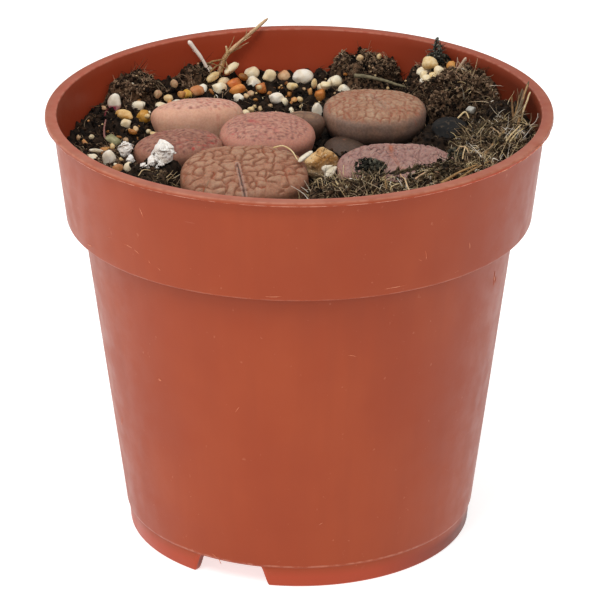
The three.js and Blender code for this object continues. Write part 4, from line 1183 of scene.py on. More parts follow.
# A random tone for each place, lighter in some patches of the soil and darker in others.
def patchTone(place, draw):
    return np.clip(draw.random(len(place)) + 0.5 * softNoise(place, 2.4, 65), 0, 1)


# Crumbs of a size range in millimetres, sunk a little into the soil that they lie on.
def makeCrumbs(name, look, seed, material, slot, where=None):
    place, facing = where or scatter(look["count"], seed, look["chance"])
    draw = np.random.default_rng(seed + 1)
    low, high = look["size"]
    size = low + (high - low) * draw.random(len(place)) ** 2.5
    centres = keepInside(place + facing * (size * look.get("rise", 0.15))[:, None], size * 0.7)
    shape = size[:, None] * (1 - look.get("uneven", 0.55) * (draw.random((len(place), 3)) - 0.4))
    sides, dent, smooth = look.get("sides", 5), look.get("dent", 0.55), look.get("smooth", False)
    addLumps(name, centres, shape, seed + 2, sides, dent, patchTone(place, draw), material, slot, smooth=smooth)


# Threads: each starts on the soil, sets out between the soil's own direction and a random one, and bends over
# by start * t + bend * t^2, with a small wave.
def makeThreads(name, look, seed, material, slot, where=None):
    place, facing = where or scatter(look["count"], seed, look["chance"])
    draw = np.random.default_rng(seed + 1)
    count, steps = len(place), look.get("steps", 6)
    low, high = look["length"]
    length = (low + (high - low) * draw.random(count) ** 1.6)[:, None, None]
    stray = unit(draw.normal(size=(count, 3)))
    start = unit(facing * look["upright"] + stray + np.array(look.get("lean", (0, 0, 0))))[:, None]
    bend = unit(draw.normal(size=(count, 3)) - np.array([0, 0, look.get("droop", 0.8)]))[:, None]
    t = np.linspace(0, 1, steps)[None, :, None]
    wave = 0.08 * np.sin(t * 5 + draw.random((count, 1, 1)) * 6) * stray[:, None]
    paths = place[:, None] + length * (start * t + look["curl"] * bend * t * t + wave * t)
    radius = look["radius"] * (0.7 + 0.6 * draw.random((count, 1)))
    paths = keepInside(paths, radius * 2)
    radii = radius * (1 - 0.75 * np.linspace(0, 1, steps)[None] ** 1.5)
    addThreads(name, paths, radii, 3, patchTone(place, draw), material, slot)


# Chance for grit: in the middle at the back, down the left side, and a little elsewhere.
gritSpots = [((-3, 33), (14, 5), 1), ((-2, 25), (9, 5), 0.6), ((-29, 14), (5, 12), 0.7), ((-31, -7), (4, 5), 0.8)]


def gritChance(x, y):
    chance = 0.04
    for (cx, cy), (hx, hy), share in gritSpots:
        chance = chance + share * np.exp(-(((x - cx) / hx) ** 2 + ((y - cy) / hy) ** 2))
    return np.clip(chance, 0, 1) * (1 - mossiness(x, y))


crumbs = {
    "peat_crumbs_dark": {"count": 5200, "size": (0.25, 1.4), "seed": 101, "skin": "darkCrumb", "slot": "peat",
                         "chance": lambda x, y: 1 - 0.75 * mossiness(x, y)},
    "peat_crumbs_brown": {"count": 5200, "size": (0.2, 0.95), "seed": 111, "skin": "brownCrumb", "slot": "peat",
                          "rise": 0.3, "chance": lambda x, y: brownness(x, y) ** 0.7},
    "peat_crumbs_moss": {"count": 2400, "size": (0.2, 1), "seed": 121, "skin": "mossCrumb", "slot": "peat",
                         "rise": 0.2, "chance": mossiness},
}
threads = {
    "moss_threads": {"count": 6000, "length": (0.4, 1.7), "radius": 0.075, "upright": 0.6, "curl": 1.5,
                     "seed": 131, "skin": "mossThread", "slot": "peat",
                     "chance": lambda x, y: mossiness(x, y) * (softNoise(stack(x, y, 0), 2.2, 71) > -0.4)},
    "pale_fibres": {"count": 950, "length": (0.6, 2.9), "radius": 0.09, "upright": 0.5, "curl": 1.1, "seed": 141,
                    "steps": 8, "skin": "paleFibre", "slot": "straw", "lean": (0.3, 0.3, 0.1), "droop": 0.6,
                    "chance": lambda x, y: mossiness(x, y) * (x > -5) + 0.02},
    "peat_fibres": {"count": 5300, "length": (0.4, 1.9), "radius": 0.065, "upright": 0.6, "curl": 1, "seed": 151,
                    "skin": "peatFibre", "slot": "peat", "chance": lambda x, y: 0.1 + brownness(x, y)},
}
grain = {"chance": gritChance, "rise": 0.25, "sides": 7, "dent": 0.26, "smooth": True, "uneven": 0.8}
fineGrit = {
    "fine_grit_cream": {**grain, "count": 110, "size": (0.5, 1.5), "seed": 161, "skin": "fineCreamGrit",
                        "slot": "cream_grit"},
    "fine_grit_orange": {**grain, "count": 60, "size": (0.5, 1.4), "seed": 171, "skin": "fineOrangeGrit",
                         "slot": "orange_grit"},
}
for make, looks in ((makeCrumbs, crumbs), (makeThreads, threads), (makeCrumbs, fineGrit)):
    for name, look in looks.items():
        make(name, look, look["seed"], toned[look["skin"]], look["slot"])


# A smooth curve through points: between two points b and c, with a before and d after,
# ((-t + 2t^2 - t^3)a + (2 - 5t^2 + 3t^3)b + (t + 4t^2 - 3t^3)c + (t^3 - t^2)d) / 2.
def smoothPath(points, steps):
    p = np.array(points, float)
    p = np.vstack([2 * p[0] - p[1], p, 2 * p[-1] - p[-2]])
    place = np.linspace(0, len(p) - 3 - 1e-9, steps)
    k = place.astype(int)
    t = (place - k)[:, None]
    a, b, c, d = p[k], p[k + 1], p[k + 2], p[k + 3]
    return ((-t + 2 * t**2 - t**3) * a + (2 - 5 * t**2 + 3 * t**3) * b + (t + 4 * t**2 - 3 * t**3) * c
            + (t**3 - t**2) * d) / 2


# Rootlets and hairs that lie on top: points, thickness at the root and at the tip, and tone.
rootlets = [
    ([(-4.3, -9.3, 71), (-2.5, -9.3, 71.3), (-1.2, -11.8, 71.2), (-0.2, -13.9, 70.6)], 0.3, 0.2, 1),
    ([(3.2, -27.4, 71.2), (3, -27.4, 72.4), (3.5, -27.7, 72.7), (3.8, -28.4, 71.6)], 0.22, 0.12, 0.9),
    ([(7.3, -33.8, 72.2), (6.6, -32.2, 72.9), (5.8, -30.1, 73.4)], 0.2, 0.1, 1),
    ([(7.1, -22.9, 71.4), (7.1, -22.7, 72.2), (7.2, -22.3, 73)], 0.2, 0.1, 1),
    ([(17.5, -31.4, 72.2), (16.8, -28.9, 73), (16.2, -27.1, 73.4)], 0.28, 0.14, 0.8),
    ([(6, -33.2, 71.6), (4.3, -30.9, 72.1), (2.7, -28.4, 71.6)], 0.45, 0.2, 0.2),
    ([(14, -32.4, 72.5), (13.8, -31.2, 73.2), (13.6, -28.7, 73.6)], 0.35, 0.2, 0.3),
    ([(26.3, -20.3, 71.2), (26.6, -17.6, 72.4), (27.1, -14.7, 73.2)], 0.28, 0.2, 0.85),
    ([(27.1, -14.7, 73.2), (27.9, -15.8, 72.4), (28.5, -16.4, 71.8)], 0.2, 0.1, 0.8),
    ([(27.1, -14.7, 73.2), (26.2, -14.5, 73.1), (25.6, -14.7, 72.3)], 0.2, 0.1, 0.8),
    ([(26.8, 6.7, 70.2), (28, 7, 71.2), (28.6, 6.2, 70.2)], 0.35, 0.2, 0.9),
    ([(33.8, -8.8, 71.4), (35.1, -7.2, 72.6), (36.9, -4.6, 73.4)], 0.35, 0.15, 0.9),
    ([(34.6, -8.3, 71.4), (35.8, -6.7, 72.4), (37, -6.4, 73.2)], 0.3, 0.12, 1),
    ([(31.3, 2.8, 70.4), (32.4, -1.9, 71.5), (33.6, -5.9, 71.8)], 0.28, 0.15, 0.8),
    ([(30.2, -15.2, 71.4), (32, -10.8, 72.4), (34.1, -5.8, 72.8)], 0.5, 0.25, 0.35),
    ([(28.8, -17, 71.4), (31.3, -12.6, 72.2), (33.1, -9.5, 72.6)], 0.4, 0.2, 0.3),
    ([(22.7, -28.9, 72.4), (25.5, -25.9, 73), (28.9, -22.5, 73.2)], 0.6, 0.3, 0.45),
    ([(24.6, -28.4, 72.2), (27.5, -24.9, 72.9), (30.9, -20.5, 73)], 0.5, 0.25, 0.4),
    ([(18.6, -27, 72.4), (20.7, -25.4, 73.1), (22.6, -25, 72.8)], 0.35, 0.15, 0.75),
    ([(-26.3, -17, 69), (-25.5, -16.3, 69.8), (-24.2, -15.8, 69.6)], 0.2, 0.1, 0.9),
    ([(36.2, 3.9, 70.2), (36, 6.8, 72), (35.8, 8.5, 73.6)], 0.5, 0.3, 0.15),
    ([(36.6, 2.6, 70.2), (37.2, 5.6, 72.6), (38.6, 8.6, 75.6)], 0.4, 0.3, 0.6),
    ([(37.2, 4.8, 70.6), (38.4, 7.1, 73.3), (39, 8.1, 74.4)], 0.4, 0.3, 0.9),
    ([(35.3, 2.2, 70.2), (36.4, 5.2, 71.8), (37.2, 8.8, 73.6)], 0.3, 0.2, 0.3),
    ([(36.9, 1.4, 70.2), (37.1, 4.2, 71.2), (37.9, 7.6, 72.4)], 0.35, 0.2, 0.1),
    ([(-18.4, 33.6, 68.6), (-16.6, 34.4, 70), (-14.2, 34.9, 69.6)], 0.4, 0.2, 0.35),
    ([(-17.2, 35, 68.4), (-15.4, 34.8, 70.2), (-13.2, 35.6, 70.4)], 0.5, 0.3, 0.45),
    ([(-15.8, 33.6, 68.6), (-14.2, 34.2, 69.8), (-12.6, 34, 69.2)], 0.4, 0.2, 0.3),
    ([(-13.6, 34.4, 68.4), (-13.2, 35.2, 70.4), (-12.2, 36.2, 71.8)], 0.5, 0.3, 0.5),
    ([(-12.2, 33.8, 68.4), (-12.8, 35.2, 69.8), (-13.3, 36.2, 70.9)], 0.35, 0.2, 0.6),
]


def makeRootlets(name, lines, steps, sides, material):
    paths = np.array([smoothPath(points, steps) for points, *_ in lines])
    wave = 0.12 * softNoise(paths, 1.2, 73)[..., None] * np.array([1, 0.6, 0.6])
    paths = keepInside(paths + wave, 0.35)
    thick, thin, tones = (np.array([line[k] for line in lines])[:, None] for k in (1, 2, 3))
    radii = (thick + (thin - thick) * np.linspace(0, 1, steps)) / 2
    radii[:, -1] *= 0.4
    addThreads(name, paths, radii, sides, tones.ravel(), material, "straw")


twig = [([(9.6, 28.2, 70), (13.2, 26.9, 70), (18.5, 25.3, 69)], 0.8, 0.4, 0.5)]
makeRootlets("rootlets", rootlets, 18, 6, toned["rootSkin"])
makeRootlets("olive_twig", twig, 18, 8, toned["twigSkin"])
print("crumbs, moss and fibres done")


# Stones and grit: a ball cut softly by random planes, laid along the axes of the grain it replaces

# Radius of a ball in direction d, cut by planes with directions n and distances h:
# (sum of (max(d . n, 0) / h)^p)^(-1/p).
def cutBall(directions, planes, distances, softness):
    toward = np.maximum(directions @ planes.T, 0) / distances
    return (toward**softness).sum(-1) ** (-1 / softness)


# Points and faces of a grain in its box (middle, axes, half sizes), and how hollow it is at each point, for
# painted shade in its hollows.
def grainMesh(box, look, seed, rows=15, columns=24):
    middle, axes, half = box
    draw = np.random.default_rng(seed)
    polar = np.pi * np.arange(1, rows) / rows
    angle = np.arange(columns) * fullTurn / columns
    out = np.sin(polar)[:, None]
    ring = stack(out * np.cos(angle), out * np.sin(angle), np.cos(polar)[:, None])
    directions = np.vstack([[[0, 0, 1]], ring.reshape(-1, 3), [[0, 0, -1]]])
    planes = unit(draw.normal(size=(look["planes"], 3)))
    distances = look["cut"] + (1 - look["cut"]) * draw.random(look["planes"])
    radius = np.minimum(cutBall(directions, planes, distances, look["softness"]), 1.02)
    radius = radius * (1 + look["rough"] * roughNoise(directions, look["roughSize"], 3, seed))
    creases = np.abs(softNoise(directions, 0.6, seed + 1)) + 0.5 * np.abs(softNoise(directions, 0.3, seed + 2))
    radius = radius * (1 - look.get("crumple", 0) * (1 - np.minimum(creases * 2.2, 1)))
    body = directions * radius[:, None]
    body = body / np.abs(body).max(0)
    points = middle + (body * half * look.get("grow", 1)) @ axes.T
    hollowShade = np.clip(1.1 - radius, 0, 1)
    return points, 1 + gridQuads(rows - 1, columns), poleFans(columns, len(points) - 1), hollowShade


# A grain as a piece, in the box of the node that it replaces or in one of its own.
def makeGrain(name, node, look, seed, material, slot, rows=15, columns=24, box=None):
    points, quads, triangles, hollowShade = grainMesh(box or grainBox(node), look, seed, rows, columns)
    addPiece(name, points, quads, triangles, material, slot, [node] if node else (), {"hollowShade": hollowShade})


# Axes of a thing that is turned about Z and whose long axis then rises, both in degrees.
def axesOf(turn, climb):
    a, b = np.radians(turn), np.radians(climb)
    return np.array([[np.cos(a) * np.cos(b), -np.sin(a), -np.cos(a) * np.sin(b)],
                     [np.sin(a) * np.cos(b), np.cos(a), -np.sin(a) * np.sin(b)], [np.sin(b), 0, np.cos(b)]])


# Several small grains as one piece: each has a place, a size, a tone and, where it matters, a turn and a climb.
def makeGrains(name, grains, look, seed, material, slot):
    meshes = []
    for k, (at, size, _, *turned) in enumerate(grains):
        axes = axesOf(*(turned or (67 * k % 180, 23 * k % 31 - 15)))
        meshes.append(grainMesh((np.array(at), axes, np.array(size) / 2), look, seed + k, 12, 18)[:3])
    points, quads, triangles = joinMeshes(meshes)
    tone = np.repeat([grain[2] for grain in grains], len(meshes[0][0]))
    addPiece(name, points, quads, triangles, material, slot, values={"tone": tone})


def gritPaint(dark, light, stain):
    def paint(tree):
        body = blotched(tree, 1.6, 3, 0.35, 0.65, dark, light)
        spots = patches(tree, 0.5, 3, 0.6, 0.75)
        normal = bump(tree, noise(tree, 0.35, 3), 0.03)
        return {"Base Color": tint(tree, spots, 0.45, body, stain), "Normal": normal}

    return paint


grit = {"planes": 13, "cut": 0.69, "softness": 15, "rough": 0.04, "roughSize": 0.9, "grow": 1.07}
creamLooks = [("#f6e0b8", "#fff5da"), ("#f8e6c4", "#fff8e6"), ("#f0d6a8", "#ffefcc"), ("#f2e2c8", "#fff6e6")]
orangeLooks = [
    ("#d9a070", "#efc79a"), ("#c0632a", "#e58a4a"), ("#c76c28", "#e99c50"), ("#d79f38", "#f3cc70"),
    ("#c87d48", "#e6a978"), ("#cb954a", "#efc888"), ("#c48a30", "#eab458"), ("#b5622c", "#da8a48"),
    ("#be6c2c", "#e2964e"), ("#c98438", "#edb568"), ("#b47440", "#dc9e6c"),
]
for kind, count, looks, stain, seed in (("cream", 23, creamLooks, "#e0c698", 200),
                                        ("orange", 11, orangeLooks, "#e9c79a", 240)):
    skins = [makeMaterial(f"{kind}Grit{k}", gritPaint(*look, stain), 0.45, 0.4) for k, look in enumerate(looks)]
    for k in range(count):
        number, skin = f"{k + 1:02d}", skins[k % len(skins)]
        makeGrain(f"{kind}_grain_{number}", f"grit_{kind}_{number}", grit, seed + k, skin, kind + "_grit")


smallCream = [
    ((22.6, 27.6, 72.5), (2.9, 2.4, 2.3), 0.5), ((23.2, 25.5, 70.9), (1.6, 1.5, 1.4), 0.6),
    ((22, 24.7, 70.7), (1.7, 1.4, 1.4), 0.8), ((21.6, 26.3, 70.8), (1.3, 1.2, 1.5), 0.8),
    ((25.2, 25.4, 71.3), (1.2, 1.2, 1.1), 0.4), ((-9.2, 25, 67.4), (1, 0.9, 0.9), 0.3),
    ((-8.4, 26.4, 67.4), (1.3, 1.1, 1), 0.2), ((-7, 29, 67.6), (1.3, 0.9, 0.9), 0.4),
    ((-8.3, 20.6, 66.6), (1.2, 1.1, 1), 0.5), ((-9.2, 18.8, 66.6), (1.7, 1.4, 1.3), 0.8),
    ((0.1, 25.6, 66.6), (1.2, 1, 1), 0.4), ((-1.2, 31.2, 67), (2, 1.4, 1.4), 0.6),
    ((2.6, 31.2, 67.5), (1.5, 1, 1.6), 0.5), ((-11.9, 35.2, 68.9), (3.4, 1.5, 1.4), 0.8, 45, 25),
    ((-15.2, 32.6, 68.2), (3, 1.7, 1.5), 0.5, 40, 20), ((-26.2, 16.8, 66.8), (2, 1.1, 1), 0.5),
    ((-22.6, 22.4, 68), (1.6, 1.3, 1.2), 0.4), ((-24.4, 22.8, 68.6), (1.6, 1.2, 1.4), 0.1),
    ((-21.7, 26.2, 69.2), (1.5, 1.1, 1.6), 0.1), ((-24.6, 9.2, 66.4), (1.7, 1, 0.8), 0.4),
    ((-27.9, 11.4, 66.4), (1.6, 1, 1), 0.3), ((4.6, 30.6, 67.3), (1.9, 1.6, 1.5), 0.8),
    ((31.4, 23.2, 71.6), (0.9, 0.8, 0.7), 0.3), ((14, 35.4, 71), (1.1, 0.9, 1), 0.5),
    ((10.6, 34.6, 71), (1.3, 1, 1.2), 0.3),
]
smallOrange = [
    ((-9.8, 33.2, 68), (1.7, 1.4, 1.3), 0.3), ((-5.2, 27.6, 67), (0.9, 0.8, 0.7), 0.6),
    ((1.9, 27.4, 67.3), (0.9, 0.8, 1.5), 0.9), ((-20.4, 24.7, 67.8), (1.4, 1.1, 1.3), 0.8),
    ((-22.4, 21.2, 67.6), (1.3, 0.8, 0.8), 0.9), ((-28.4, 9.6, 66.6), (1.7, 1, 0.9), 0.5),
    ((-32.5, -0.8, 67.4), (2, 1.3, 0.9), 0.7), ((-27.6, 21, 67.9), (0.9, 0.7, 0.7), 0.4),
]
makeGrains("small_grains_cream", smallCream, grit, 400, toned["fineCreamGrit"], "cream_grit")
makeGrains("small_grains_orange", smallOrange, grit, 430, toned["fineOrangeGrit"], "orange_grit")


# Share from one height above a grain's middle to another, in millimetres.
def heightShare(tree, node, start, end):
    split = tree.nodes.new("ShaderNodeSeparateXYZ")
    tree.links.new(objectPlace(tree), split.inputs[0])
    middle = grainBox(node)[0][2]
    return spread(tree, split.outputs["Z"], (middle + start) * mm, (middle + end) * mm)


# White grain with a pink-red stain low on its front.
def stainedPaint(tree):
    body = gritPaint("#e6dac2", "#fbf2df", "#cdb795")(tree)
    low = heightShare(tree, "grit_stained", 0.2, -0.3)
    patch = times(tree, low, patches(tree, 0.8, 2, 0.35, 0.55, 0.5, 1))
    body["Base Color"] = mix(tree, patch, body["Base Color"], "#b03258")
    return body


whiteStone = makeMaterial("whiteStone", gritPaint("#d3c4a6", "#f3e8d2", "#b5a07c"), 0.6, 0.3)
stained = makeMaterial("stainedStone", stainedPaint, 0.4)
makeGrain("stained_grain", "grit_stained", {**grit, "grow": 1.25}, 260, stained, "white_stone")
stems = [
    ([(-32.4, 18.4, 67.8), (-33.2, 15.6, 67.9), (-33, 12.4, 67.8)], 0.35, 0.3, 0.1),
    ([(-33, 12.4, 67.8), (-33.1, 8.2, 67.6), (-32.8, 4.6, 67.2)], 0.3, 0.4, 0.8),
]
makeRootlets("red_stem", stems, 14, 7, toned["redStem"])
oliveStone = makeMaterial("oliveStone", gritPaint("#7f7c56", "#b0aa84", "#c9c3a6"), 0.7, 0.3)
greyStone = makeMaterial("greyStone", gritPaint("#a3a097", "#d0ccc1", "#8a877d"), 0.5, 0.4)
chipLook = {**grit, "grow": 1, "cut": 0.6, "rough": 0.06}
looseChips = {
    "olive_chip": ((-31.2, 3.4, 67.5), (3.6, 2, 1.4), (-45, -12), oliveStone, "white_stone"),
    "pale_flake": ((1, -12.9, 70.8), (3.4, 1.55, 0.8), (44, 18), whiteStone, "white_flake"),
    "white_chip": ((-33.8, -2.9, 68), (2.6, 0.9, 0.8), (-14, 4), whiteStone, "white_stone"),
    "white_shard": ((5.2, -13.6, 68.4), (3, 1.3, 0.9), (48, 20), whiteStone, "white_stone"),
    "grey_grain": ((29, 7.2, 71.5), (1.8, 1.4, 1.4), (0, 10), greyStone, "white_stone"),
}
for number, (name, (at, size, turned, skin, slot)) in enumerate(looseChips.items()):
    box = np.array(at), axesOf(*turned), np.array(size) / 2
    makeGrain(name, None, chipLook, 450 + number, skin, slot, 14, 22, box)
chip = {**grit, "grow": 0.8, "rough": 0.12, "cut": 0.55}
makeGrain("white_pebble_worn", "white_pebble", chip, 261, whiteStone, "white_stone")


def sandstonePaint(tree):
    body = blotched(tree, 2.4, 4, 0.35, 0.62, "#c18b4f", "#eac38c")
    body = blotched(tree, 3.5, 2, 0.55, 0.7, body, "#8f5c2c")
    body = tint(tree, patches(tree, 0.55, 3, 0.52, 0.66), 0.75, body, "#5d3a20")
    pale = patches(tree, 0.45, 2, 0.58, 0.68, stretch=(1.3, 1, 1))
    body = tint(tree, pale, 0.6, body, "#f0dcbb")
    body = tint(tree, heightShare(tree, "sandstone_pebble", 0.6, -1.6), 0.6, body, "#cdb493")
    return {"Base Color": body, "Normal": bump(tree, noise(tree, 0.5, 4, roughness=0.7), 0.3)}


def slatePaint(tree):
    body = blotched(tree, 2, 4, 0.35, 0.65, "#0b0a0a", "#1a1816")
    body = blotched(tree, 0.7, 4, 0.54, 0.7, body, "#4b3d2f")
    return {"Base Color": body, "Normal": bump(tree, noise(tree, 0.8, 4), 0.08)}


sandstone = {"planes": 14, "cut": 0.64, "softness": 18, "rough": 0.07, "roughSize": 0.35}
slate = {"planes": 12, "cut": 0.7, "softness": 16, "rough": 0.02, "roughSize": 0.6}
tanStone = makeMaterial("sandstone", sandstonePaint, 0.9, 0.2)
blueStone = makeMaterial("slate", slatePaint, 0.65, 0.25)
makeGrain("sandstone_worn", "sandstone_pebble", sandstone, 270, tanStone, "sandstone", rows=40, columns=64)
makeGrain("slate_worn", "slate_stone", slate, 271, blueStone, "slate", rows=36, columns=56)


# White flaky crumbs, like crumpled paper, with painted shade in their hollows, and the dark crumb of peat
def flakePaint(tree):
    body = blotched(tree, 0.8, 4, 0.35, 0.65, "#faf0e4", "#fffcf6")
    # Painted shade: beige where the crumb dips in and deep between its flakes.
    body = mix(tree, spread(tree, attribute(tree, "hollowShade"), 0.3, 0.8), body, "#cdb9a0")
    body = tint(tree, patches(tree, 0.45, 3, 0.6, 0.68), 0.5, body, "#8c7862")
    return {"Base Color": body, "Normal": bump(tree, noise(tree, 0.4, 3), 0.14)}


# Curled flakes: each is a disc grid bent by curl * x^2 plus noise, with a thin other side, laid on a ball.
def flakeMesh(middle, half, count, seed, grid=13, thick=0.1):
    draw = np.random.default_rng(seed)
    disc, quads, rim = discGrid(grid)
    flat = stack(disc[:, 0], disc[:, 1], 0)
    outward = unit(draw.normal(size=(count, 3)) + np.array([0, -0.3, 0.5]))
    side = unit(np.cross(outward, draw.normal(size=(count, 3))))
    frameOf = np.stack([side, np.cross(outward, side), outward], -1)
    size = half.mean() * (0.32 + 0.45 * draw.random((count, 1)))
    curl = -0.25 - 0.45 * np.abs(draw.normal(size=(count, 1)))
    ragged = 1 + 0.55 * roughNoise(flat[None] * 1.0 + np.arange(count)[:, None, None] * 5, 0.7, 2, seed)
    x, y = disc[:, 0] * ragged, disc[:, 1] * ragged
    bump = 0.28 * roughNoise(stack(x, y, 0) + np.arange(count)[:, None, None] * 7, 0.9, 2, seed + 1)
    sheet = stack(x, y, curl * x * x + bump) * size[:, :, None]
    upper = np.einsum("nij,npj->npi", frameOf, sheet)
    centre = middle + outward * half * (0.72 + 0.2 * draw.random((count, 1)))
    upper = upper + centre[:, None]
    lower = upper - outward[:, None] * thick
    each = len(disc)
    points = np.concatenate([upper, lower], 1).reshape(-1, 3)
    first = np.arange(count)[:, None, None] * 2 * each
    wall = np.stack([rim, rim + each, np.roll(rim, -1) + each, np.roll(rim, -1)], -1)
    faces = np.concatenate([quads, quads[:, ::-1] + each, wall])
    return points, (first + faces[None]).reshape(-1, 4)


def makeFlakes(name, node, count, seed, material, slot):
    middle, _, half = looseBoxes[node]
    points, quads = flakeMesh(middle, half, count, seed)
    # Flake points nearer the crumb's middle get more painted shade.
    away = np.linalg.norm((points - middle) / half, axis=1)
    addPiece(name, points, quads, None, material, slot, [node], {"hollowShade": smoothStep(away, 0.9, 0.5)})


flaky = {"planes": 16, "cut": 0.62, "softness": 20, "rough": 0.12, "roughSize": 0.7, "crumple": 0.2}
crumbly = {"planes": 14, "cut": 0.75, "softness": 9, "rough": 0.2, "roughSize": 0.5, "crumple": 0.22,
           "grow": 1.04}
flake = makeMaterial("whiteFlake", flakePaint, 0.75)
makeGrain("flaky_crumb_left", "white_crumb_left", flaky, 280, flake, "white_flake", rows=36, columns=54)
makeGrain("flaky_crumb_right", "white_crumb_right", flaky, 281, flake, "white_flake", rows=40, columns=60)
makeFlakes("flakes_left", "white_crumb_left", 16, 284, flake, "white_flake")
makeFlakes("flakes_right", "white_crumb_right", 22, 285, flake, "white_flake")
tails = [
    ((-24.3, -11.8, 69.4), 1.2), ((-25.4, -12.4, 68.8), 0.9), ((-23.2, -11.8, 68.8), 1), ((-28, -6.2, 67.6), 0.8),
]
shreds = [flakeMesh(np.array(at), np.full(3, size), 3, 290 + k) for k, (at, size) in enumerate(tails)]
points, quads = joinMeshes(shreds)
addPiece("flake_shreds", points, quads, None, flake, "white_flake", values={"hollowShade": np.zeros(len(points))})
peatLump = makeMaterial("peatLump", gritPaint("#171611", "#403c31", "#6c6654"), 0.95, 0.15)
makeGrain("peat_crumb_rough", "peat_crumb", crumbly, 282, peatLump, "peat", rows=36, columns=54)
print("stones and grit done")


# Straws: a tapered tube through the straw's own points, with split strands beside it and, on one, a side shoot

straws = {
    "white_straw": {
        "points": [(-15.4, 33.9, 67.6), (-17, 33.8, 71), (-19.4, 34, 74.4)], "thickness": (0.45, 0.85),
        "tones": (0.75, 1), "strands": 2, "skin": "paleStraw",
    },
    "dry_stalk": {
        "points": [
            (-14.2, 34.8, 68), (-12.9, 36.6, 70.6), (-10.8, 37.4, 72.6), (-7.7, 38.6, 75), (-5.5, 40.6, 76.3),
        ],
        "shoot": [(-12.6, 36.6, 70.8), (-12.7, 36.6, 71.6), (-12.9, 36.4, 72.6)], "thickness": (0.85, 0.5),
        "tones": (0.6, 1), "strands": 6,
    },
    "short_straw": {
        "points": [(26.8, 27.8, 69.4), (27.6, 27.2, 71.5), (28.9, 26.7, 73.9)], "thickness": (0.7, 0.45),
        "tones": (0.1, 0.5), "strands": 2, "skin": "paleStraw",
    },
    "right_straw_long": {
        "points": [(35.6, 1.2, 69), (36.3, 3.6, 71.2), (37.3, 5.6, 72.8), (38.8, 10, 75.6)],
        "thickness": (0.65, 0.42), "tones": (0.2, 0.8), "strands": 7, "skin": "dullStraw",
    },
    "right_straw_short": {
        "points": [(36.2, 5.6, 69.2), (36.9, 7.8, 72), (37.8, 9.8, 74.4)], "thickness": (0.5, 0.3),
        "tones": (0.1, 0.6), "strands": 5, "skin": "dullStraw",
    },
}


def makeStraw(node, look, seed, steps=24, sides=9):
    draw = np.random.default_rng(seed)
    thick, thin = look["thickness"]
    path = smoothPath(look["points"], steps)
    paths, radii, tones = [path], [np.linspace(thick, thin, steps) / 2], [np.mean(look["tones"])]
    if "shoot" in look:
        paths.append(smoothPath(look["shoot"], steps))
        radii.append(np.linspace(thick * 0.8, thin * 0.6, steps) / 2)
        tones.append(look["tones"][1])
    for _ in range(look["strands"]):
        start, end = np.sort(draw.random(2))
        inner = smoothPath(look["points"], 200)[int(start * 120) : int(80 + end * 119)]
        inner = inner[np.linspace(0, len(inner) - 1, steps).astype(int)]
        off = draw.normal(size=3) * thick * 0.3
        peel = draw.normal(size=3) * np.array([1.2, 1.2, 0.3]) * thick
        t = np.linspace(0, 1, steps)[:, None]
        paths.append(inner + off + peel * t**3)
        radii.append(thick * 0.13 * (1 - 0.5 * t[:, 0]))
        tones.append(look["tones"][0] + (look["tones"][1] - look["tones"][0]) * draw.random())
    paths, radii = keepInside(np.array(paths), 0.3), np.array(radii)
    radii = radii * (1 + 0.18 * softNoise(paths, 0.9, seed))
    radii[:, -1] *= 0.35
    skin = toned[look.get("skin", "rootSkin")]
    addThreads(node + "_split", paths, radii, sides, tones, skin, "straw", [node])


for number, (node, look) in enumerate(straws.items()):
    makeStraw(node, look, 300 + number)
print("straws done")


# The dark tuft at the back: crumbs and short fibres over a cone. With t up its height,
# its radius is radius * (1 - t)^0.7 + tip.
stump = {"at": (24, 29.7), "base": 69.2, "top": 76.5, "radius": 1.6, "tip": 0.14, "crumbs": 520, "fibres": 150}


def onStump(draw, count):
    t = draw.random(count) ** 1.2
    angle = draw.random(count) * fullTurn
    out = stump["radius"] * (1 - t) ** 0.7 + stump["tip"]
    outward = stack(np.cos(angle), np.sin(angle), 0)
    middle = stack(*stump["at"], stump["base"] + t * (stump["top"] - stump["base"]))
    place = middle + outward * out[:, None] * 0.75
    return place, unit(outward + np.array([0, 0, 0.9])), t


def makeStump():
    draw = np.random.default_rng(320)
    skin = toned["stumpSkin"]
    place, _, t = onStump(draw, stump["crumbs"])
    size = (0.35 + 0.6 * draw.random(len(place)) ** 2) * (1 - 0.55 * t)
    shape = size[:, None] * (1 + 0.8 * (draw.random((len(place), 3)) - 0.4))
    tones = draw.random(len(place)) ** 1.5
    addLumps("dark_spike_ragged", place, shape, 322, 5, 0.5, tones, skin, "peat", ["dark_spike"])
    look = {"length": (0.5, 1.7), "upright": 1.5, "curl": 0.4, "radius": 0.09}
    place, facing, _ = onStump(draw, stump["fibres"])
    inside = place[:, 2] < stump["top"] - 1.2
    makeThreads("dark_spike_fibres", look, 323, skin, "peat", where=(place[inside], facing[inside]))


makeStump()
print("stump done")


# Moss heaped in front of the right front head: a rough core, with crumbs and threads over its upper side
mounds = [
    ((13.2, -24.4, 69.2), (7.4, 2.4, 2)), ((24.5, -22.2, 70.6), (5.5, 3.4, 2.2)),
    ((31, -9.5, 69.8), (4.4, 6, 2.2)), ((5, -25.4, 69.6), (3, 2.4, 2)), ((31.5, 0.5, 69), (4, 4.5, 2)),
]


# Small heaps that are dark: the crumb on the head, the foot of the tuft, and one beside the head.
darkLumps = [
    ((11.3, -18.7, 71.1), (2.3, 1.6, 1.2)), ((24, 29.6, 72.2), (2, 1.4, 1.3)),
    ((26, -13.8, 71.2), (1.5, 1.3, 1.3)),
]


